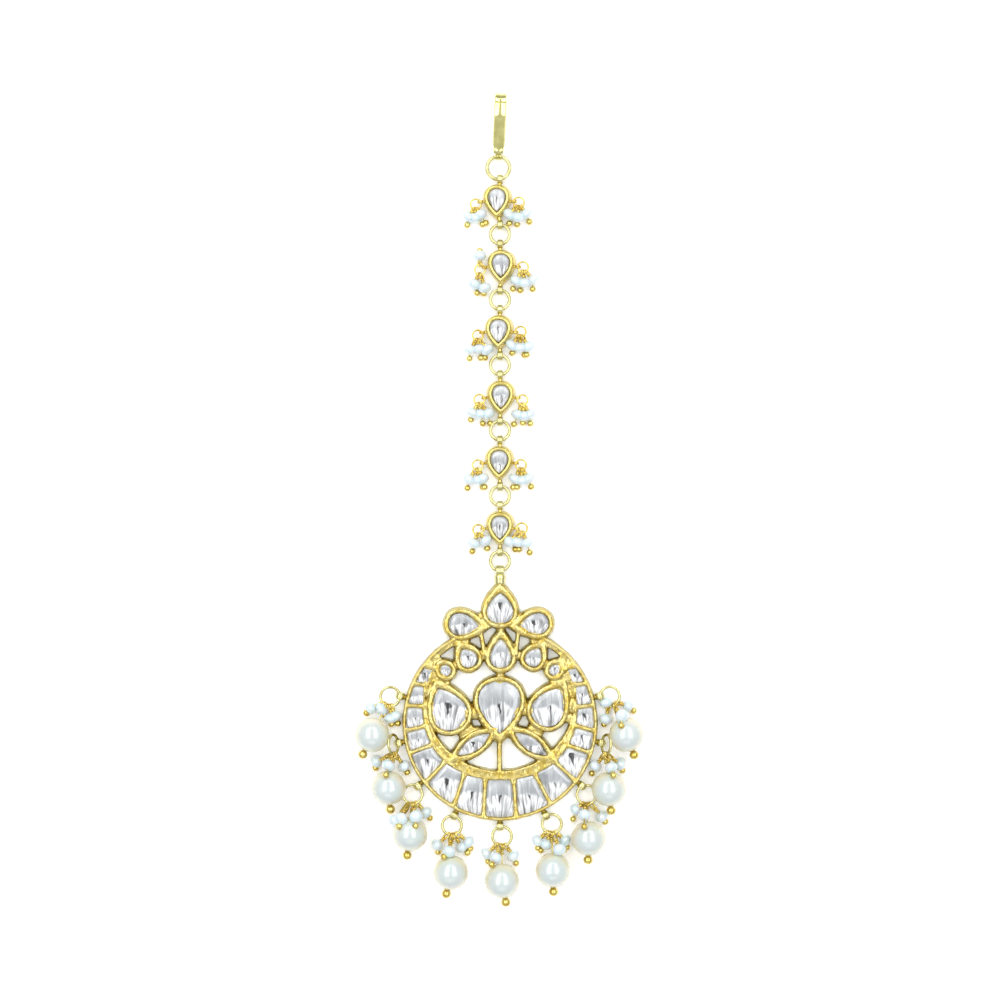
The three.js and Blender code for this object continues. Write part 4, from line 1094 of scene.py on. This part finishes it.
def drop_seeds_form(index):
    """A jump ring with its seed pearls, each on its own pin."""
    form = bmesh.new()
    draw = random.Random(40 + index)
    seed = sizes().seed / MM
    ball_size = sizes().seed_ball / MM
    middle, normal, _foot = drop_ring(index)
    add_wires(form, [(ring_points(middle, DROP_RING[0], normal, 48), DROP_RING[1] * 2, True)], 2)
    near = [pearl_place(other) for other in (index - 1, index, index + 1) if 0 <= other < len(DROPS)]
    for (x, y), (ball_x, ball_y) in DROPS[index][5]:
        bead = Vector((middle.x + x, middle.y + y, 0))
        ball = Vector((bead.x + ball_x, bead.y + ball_y, 0))
        ball.z = resting_height(ball, ball_size / 2, near)
        held = mixed(seed / 2, ball.z, 0.62) if ball.z > 2 else 0
        bead.z = max(resting_height(bead, seed / 2 * 0.92, near), held)
        pull = Vector((x, y * 1.6, 0)).normalized()
        flat = (pull - normal * pull.dot(normal)).normalized()
        hang = middle + flat * DROP_RING[0]
        add_dangle(form, hang, bead, ball, seed, seed * 0.78, ball_size, draw)
    return form


# The chain


def chain_middle(index):
    """The middle of a chain ring, from its solid."""
    low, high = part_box(f"chain_ring_{index}")
    return (Vector((low[axis] + high[axis] for axis in range(3))) / 2 - pendant_middle()) / MM


def unit_matrix(index):
    """Where a chain unit lies: rolled a little, shifted aside and lifted off the surface."""
    roll, shift = math.radians(UNITS[index][0]), UNITS[index][1] * UNIT_SIZE[0]
    y = chain_middle(index + 1).y + CHAIN_RING[0] + EYE_REACH + UNIT_SIZE[1] / 2
    lift = abs(math.sin(roll)) * UNIT_SIZE[0] / 2
    return Matrix.Translation((shift, y, lift)) @ Matrix.Rotation(roll, 4, "Y")


def unit_outline(wide, long, steps):
    """The teardrop of a chain unit, its tip towards the pendant."""
    return leaf_outline(Vector((0, 0)), long, wide, 270, 0.8, 0, steps)


# The section of a unit's smooth wall: how far in from its outside, and how high.
UNIT_SECTION = [
    (-0.24, 0.0), (-0.22, 0.5), (-0.12, 1.1), (0.02, 1.65), (0.16, 1.98), (0.36, 2.12), (0.6, 2.12),
    (0.76, 2.0), (0.84, 1.82), (0.88, 1.5)]


def unit_form(index):
    """A teardrop setting with its stone, the eyes at its ends and the eyes at its sides."""
    form = bmesh.new()
    form.verts.layers.float_vector.new("stone_place")
    wide, long, _tall = UNIT_SIZE
    rows = []
    for margin, height in UNIT_SECTION:
        outline = unit_outline(wide - 2 * margin, long - 2 * margin * 1.12, 44)
        rows.append(at_height([point + Vector((0, 0.16 * margin)) for point in outline], height))
    add_rows(form, rows, 0)
    stone = bmesh.new()
    draw = random.Random(70 + index)
    tilt = Vector((draw.uniform(-0.05, 0.05), draw.uniform(-0.05, 0.05)))
    outline = [point + Vector((0, 0.2)) for point in unit_outline(*UNIT_STONE, 18)]
    add_stone(stone, outline, 1.3, 2.2, tilt, 20 + index * 1.7)
    mesh = bpy.data.meshes.new("unit_stone")
    stone.to_mesh(mesh)
    stone.free()
    add_mesh(form, mesh, 1, False)
    across = SIDE_EYE_ACROSS
    for sign in (-1, 1):
        way = Vector((sign, 0, 0))
        middle = Vector((sign * across, 0, RING_HEIGHT))
        eyes = [eye_wires(middle + Vector((0, side, 0)), way, 0.3, 0.3) for side in (-0.12, 0.12)]
        add_wires(form, eyes, 2)
        add_wires(form, [([middle - way * 0.45, middle - way * 1.1], 0.5, False)], 2)
    place = unit_matrix(index)
    bmesh.ops.transform(form, matrix=place, verts=form.verts)
    for sign, other in ((1, index), (-1, index + 1)):
        ring = chain_middle(other)
        radius = HOOK_RING[0] if other == 0 else CHAIN_RING[0]
        middle = Vector((0, ring.y - sign * radius, RING_HEIGHT))
        for side in (-0.3, -0.1, 0.1, 0.3):
            add_wires(form, [eye_wires(middle + Vector((side, 0, 0)), Vector((0, sign, 0)), 0.46, 0.42)], 3)
        root = Vector((place.translation.x * 0.6, place.translation.y + sign * (long / 2 - 0.5), RING_HEIGHT))
        add_wires(form, [([middle - Vector((0, sign * 0.62, 0)), root], 0.75, False)], 0)
    return form


def side_cluster_form(index, sign):
    """A small ring at a unit's side with its seed pearls."""
    form = bmesh.new()
    draw = random.Random(90 + index * 2 + sign)
    lean, seeds = UNITS[index][3 if sign > 0 else 2]
    eye = unit_matrix(index) @ Vector((sign * SIDE_EYE_ACROSS, 0, RING_HEIGHT))
    middle = eye + towards(lean) * SIDE_RING[0]
    seed = sizes().seed / MM
    ball_size = sizes().seed_ball / MM
    add_wires(form, [(ring_points(middle, SIDE_RING[0], Vector((0, 0, 1)), 32), SIDE_RING[1] * 2, True)], 1)
    for (x, y), (ball_x, ball_y) in seeds:
        bead = Vector((middle.x + x, middle.y + y, seed / 2 + draw.uniform(0, 0.25)))
        ball = Vector((bead.x + ball_x, bead.y + ball_y, ball_size / 2 + draw.uniform(0, 0.3)))
        hang = middle + Vector((x, y * 1.5, 0)).normalized() * SIDE_RING[0]
        add_dangle(form, hang, bead, ball, seed, seed * 0.76, ball_size, draw)
    return form


# The hook


def hook_line():
    """The middle line of the hook's strip, as places along the chain and above the surface."""
    thick, bend = HOOK["thickness"], (HOOK["opening"] + HOOK["thickness"]) / 2
    low = thick / 2
    foot = 0.4
    top = foot + HOOK["length"] - bend - low
    crest = low + 2 * bend
    marks = [Vector((foot, RING_HEIGHT + 1.15)), Vector((foot + HOOK["length"] * 0.15, crest - 0.34)),
             Vector((foot + HOOK["length"] * 0.5, crest)), Vector((top - 1.4, crest - 0.02)),
             Vector((top, crest - 0.3))]
    line = []
    for index in range(len(marks) - 1):
        before = marks[max(index - 1, 0)]
        start, end = marks[index], marks[index + 1]
        after = marks[min(index + 2, len(marks) - 1)]
        for step in range(8):
            share = step / 8
            pull = (end - before) * 0.5
            push = (after - start) * 0.5
            line.append(start * (2 * share ** 3 - 3 * share ** 2 + 1) + pull * (share ** 3 - 2 * share ** 2 + share)
                        + end * (3 * share ** 2 - 2 * share ** 3) + push * (share ** 3 - share ** 2))
    for step in range(17):
        turn = math.radians(90 - step / 16 * 180)
        line.append(Vector((top + bend * math.cos(turn), low + bend + bend * math.sin(turn))))
    for share in (0.25, 0.5, 0.75, 1.0):
        line.append(Vector((top - HOOK["back"] * share, low + thick * 0.3 * share ** 2)))
    return line


def strip_section(width, thick, crown):
    """A strip's section with rounded edges and a face crowned by so much, as (across, out)."""
    half, deep, soft = width / 2, thick / 2, thick * 0.22
    flat = half - soft * 1.15
    under = [(-half, -deep + soft), (-half + soft, -deep), (-flat, -deep),
             (flat, -deep), (half - soft, -deep), (half, -deep + soft)]
    shares = [1 - step / 4 for step in range(9)]
    face = [(flat * share, deep + crown * (1 - share * share)) for share in shares]
    right = [(half, deep - soft), (half - soft, deep)]
    left = [(-half + soft, deep), (-half, deep - soft)]
    return under + right + face + left


def hook_form():
    """The bent flat strip of the hook and the wire eye at its foot."""
    form = bmesh.new()
    line = hook_line()
    rows = []
    for index, place in enumerate(line):
        before, after = line[max(index - 1, 0)], line[min(index + 1, len(line) - 1)]
        along = (after - before).normalized()
        out = Vector((-along.y, along.x))
        slim = 0.84 if index < 7 else 1.0
        crown = 0.2 if index < 5 or 19 < index < 34 else 0.0
        rows.append([Vector((across, place.x + out.x * far, place.y + out.y * far))
                     for across, far in strip_section(HOOK["width"] * slim, HOOK["thickness"], crown)])
    add_rows(form, rows, 0)
    for side in (-0.42, -0.14, 0.14, 0.42):
        eye = (ring_points(Vector((side, 0.08, RING_HEIGHT)), 0.6, Vector((1, 0, 0)), 24), 0.26, True)
        add_wires(form, [eye], 0)
    ring = chain_middle(0)
    lean = Matrix.Rotation(math.radians(HOOK["lean"]), 4, "Z")
    place = Matrix.Translation((ring.x, ring.y + HOOK_RING[0], 0)) @ lean
    bmesh.ops.transform(form, matrix=place, verts=form.verts)
    return form


# The operators


class TIKKA_OT_pendant_gold(bpy.types.Operator):
    """Makes the pierced gold of the pendant with its bail and rim eyes"""

    bl_idname = "tikka.pendant_gold"
    bl_label = "Pendant gold"

    def execute(self, context):
        form = bmesh.new()
        add_mesh(form, fused(pendant_gold_form(), FRAME_TRIANGLES), 0)
        mark_hollows(form)
        add_bail(form)
        add_rim_eyes(form)
        finish_piece(
            form, "pendant_gold", ["kundan_gold_painted_shade", "drawn_pale_gold"], ["pendant_frame"])
        return {"FINISHED"}


class TIKKA_OT_lotus_stones(bpy.types.Operator):
    """Sets the thirteen stones of the lotus"""

    bl_idname = "tikka.lotus_stones"
    bl_label = "Lotus stones"

    def execute(self, context):
        draw = random.Random(5)
        for index, name in enumerate(LOTUS):
            form = bmesh.new()
            tilt = Vector((draw.uniform(-0.035, 0.035), draw.uniform(-0.035, 0.035)))
            outline = lotus_outline(name, 0, 22)
            add_stone(form, outline, STONE_SEAT + 0.1, FRAME_TOP - 0.02, tilt, index * 1.31)
            finish_piece(form, f"{name}_foiled", ["foiled_flat_cut_stone"], [name])
        return {"FINISHED"}


class TIKKA_OT_crescent_stones(bpy.types.Operator):
    """Sets the stones of the crescent in their bed of foil"""

    bl_idname = "tikka.crescent_stones"
    bl_label = "Crescent stones"

    def execute(self, context):
        draw = random.Random(11)
        form = bmesh.new()
        for index, (start, end) in enumerate(crescent_cells()):
            tilt = Vector((draw.uniform(-0.04, 0.04), draw.uniform(-0.04, 0.04)))
            outline = cell_outline(start, end, -0.04)
            add_stone(form, outline, STONE_SEAT - 0.05, FRAME_TOP - 0.12, tilt, 30 + index * 1.17)
        finish_piece(form, "crescent_foiled_stones", ["foiled_flat_cut_stone"], ["crescent_stones"])
        return {"FINISHED"}


class TIKKA_OT_drops(bpy.types.Operator):
    """Hangs the nine pearls and the bunches of seed pearls on the rim"""

    bl_idname = "tikka.drops"
    bl_label = "Pearl drops"

    def execute(self, context):
        for index in range(len(DROPS)):
            number = index + 1
            finish_piece(drop_pearl_form(index), f"pearl_drop_{number}", ["pearl_nacre", "deep_gold_wire"],
                         [f"drop_{number}_pearl"])
            finish_piece(drop_seeds_form(index), f"seed_bunch_{number}",
                         ["seed_pearl_nacre", "deep_gold_wire", "drawn_pale_gold"],
                         [f"drop_{number}_seeds"])
        return {"FINISHED"}


class TIKKA_OT_chain_units(bpy.types.Operator):
    """Makes the six teardrop settings of the chain"""

    bl_idname = "tikka.chain_units"
    bl_label = "Chain settings"

    def execute(self, context):
        for index in range(len(UNITS)):
            finish_piece(unit_form(index), f"teardrop_setting_{index + 1}",
                         ["polished_bezel_gold", "foiled_flat_cut_stone", "deep_gold_wire", "drawn_pale_gold"],
                         [f"unit_{index + 1}"])
        return {"FINISHED"}


class TIKKA_OT_side_clusters(bpy.types.Operator):
    """Hangs the seed pearls at both sides of the chain's settings"""

    bl_idname = "tikka.side_clusters"
    bl_label = "Side seed pearls"

    def execute(self, context):
        for index in range(len(UNITS)):
            for sign, side in ((-1, "left"), (1, "right")):
                finish_piece(side_cluster_form(index, sign), f"side_seeds_{index + 1}_{side}",
                             ["seed_pearl_nacre", "deep_gold_wire"], [f"unit_{index + 1}_{side}"])
        return {"FINISHED"}


class TIKKA_OT_chain_rings(bpy.types.Operator):
    """Makes the jump rings of the chain"""

    bl_idname = "tikka.chain_rings"
    bl_label = "Chain rings"

    def execute(self, context):
        for index in range(len(UNITS) + 1):
            form = bmesh.new()
            radius, wire = HOOK_RING if index == 0 else CHAIN_RING
            circle = ring_points(chain_middle(index), radius, Vector((0, 0, 1)), 64)
            add_wires(form, [(circle, wire * 2, True)], 0)
            finish_piece(form, f"jump_ring_{index}", ["drawn_pale_gold"], [f"chain_ring_{index}"])
        return {"FINISHED"}


class TIKKA_OT_hook(bpy.types.Operator):
    """Bends the flat hook"""

    bl_idname = "tikka.hook"
    bl_label = "Hook"

    def execute(self, context):
        finish_piece(hook_form(), "flat_hook", ["satin_strip_gold"], ["hook"])
        return {"FINISHED"}


def add_softbox(name, place, size, watts):
    """A long soft light beside the jewel's axis, turned down towards it."""
    light = bpy.data.lights.new(name, "AREA")
    light.shape = "RECTANGLE"
    light.size, light.size_y = size
    light.energy = watts
    lamp = bpy.data.objects.new(name, light)
    lamp.location = place
    tip = -math.atan2(place[1], place[2]) if place[0] == 0 else 0
    lamp.rotation_euler = (tip, math.atan2(place[0], place[2]), 0)
    bpy.context.scene.collection.objects.link(lamp)


class TIKKA_OT_studio(bpy.types.Operator):
    """Lays the pale floor and sets the lights and the camera"""

    bl_idname = "tikka.studio"
    bl_label = "Studio"

    def execute(self, context):
        scene = context.scene
        form = bmesh.new()
        bmesh.ops.create_grid(form, x_segments=4, y_segments=4, size=2.0)
        mesh = bpy.data.meshes.new("studio_floor")
        form.to_mesh(mesh)
        form.free()
        mesh.materials.append(material_of("matt_white_card"))
        floor = bpy.data.objects.new("studio_floor", mesh)
        scene.collection.objects.link(floor)

        world = bpy.data.worlds.new("soft_room")
        world.use_nodes = True
        tree = world.node_tree
        way = add_node(tree, "ShaderNodeTexCoord").outputs["Generated"]
        up = add_node(tree, "ShaderNodeSeparateXYZ", links={"Vector": way}).outputs["Z"]
        light = ramp_node(tree, up, [(0.0, 0.58), (0.25, 0.46), (0.62, 0.52), (1.0, 0.62)])
        tree.links.new(light, tree.nodes["Background"].inputs["Color"])
        tree.nodes["Background"].inputs["Strength"].default_value = 1.0
        scene.world = world

        add_softbox("softbox_left", (-0.3, 0.3, 0.62), (0.32, 1.1), 3.3)
        add_softbox("softbox_right", (0.3, 0.3, 0.62), (0.32, 1.1), 3.0)
        add_softbox("softbox_far", (0, 0.7, 0.5), (0.5, 0.2), 0.5)
        add_softbox("softbox_near", (0, -0.6, 0.55), (0.5, 0.16), 0.4)

        camera = bpy.data.cameras.new("camera")
        camera.lens = 69.74
        camera.sensor_width = 36
        camera.clip_start = 0.01
        viewer = bpy.data.objects.new("camera", camera)
        middle = pendant_middle()
        viewer.location = (middle.x - 0.18 * MM, middle.y + 40.41 * MM, 0.35)
        scene.collection.objects.link(viewer)
        scene.camera = viewer
        scene.view_settings.view_transform = "Standard"
        return {"FINISHED"}


STEPS = (
    TIKKA_OT_studio, TIKKA_OT_pendant_gold, TIKKA_OT_lotus_stones, TIKKA_OT_crescent_stones, TIKKA_OT_drops,
    TIKKA_OT_chain_units, TIKKA_OT_side_clusters, TIKKA_OT_chain_rings, TIKKA_OT_hook,
)


class TIKKA_PT_panel(bpy.types.Panel):
    """The jewel's sizes, colours and building steps"""

    bl_label = "Maang tikka"
    bl_idname = "TIKKA_PT_panel"
    bl_space_type = "VIEW_3D"
    bl_region_type = "UI"
    bl_category = "Maang tikka"

    def draw(self, context):
        layout = self.layout
        for group in (context.scene.tikka_sizes, context.scene.tikka_colours):
            box = layout.box()
            for name in group.__annotations__:
                box.prop(group, name)
        for step in STEPS:
            layout.operator(step.bl_idname)


CLASSES = (TikkaSizes, TikkaColours, *STEPS, TIKKA_PT_panel)


def register():
    """Registers the classes and the jewel's properties."""
    for cls in CLASSES:
        bpy.utils.register_class(cls)
    bpy.types.Scene.tikka_sizes = bpy.props.PointerProperty(type=TikkaSizes)
    bpy.types.Scene.tikka_colours = bpy.props.PointerProperty(type=TikkaColours)


def unregister():
    """Takes the classes and properties away again."""
    del bpy.types.Scene.tikka_colours
    del bpy.types.Scene.tikka_sizes
    for cls in reversed(CLASSES):
        bpy.utils.unregister_class(cls)


def main():
    """Builds the jewel and its studio."""
    register()
    for step in STEPS:
        group, name = step.bl_idname.split(".")
        getattr(getattr(bpy.ops, group), name)()


if __name__ == "__main__":
    main()
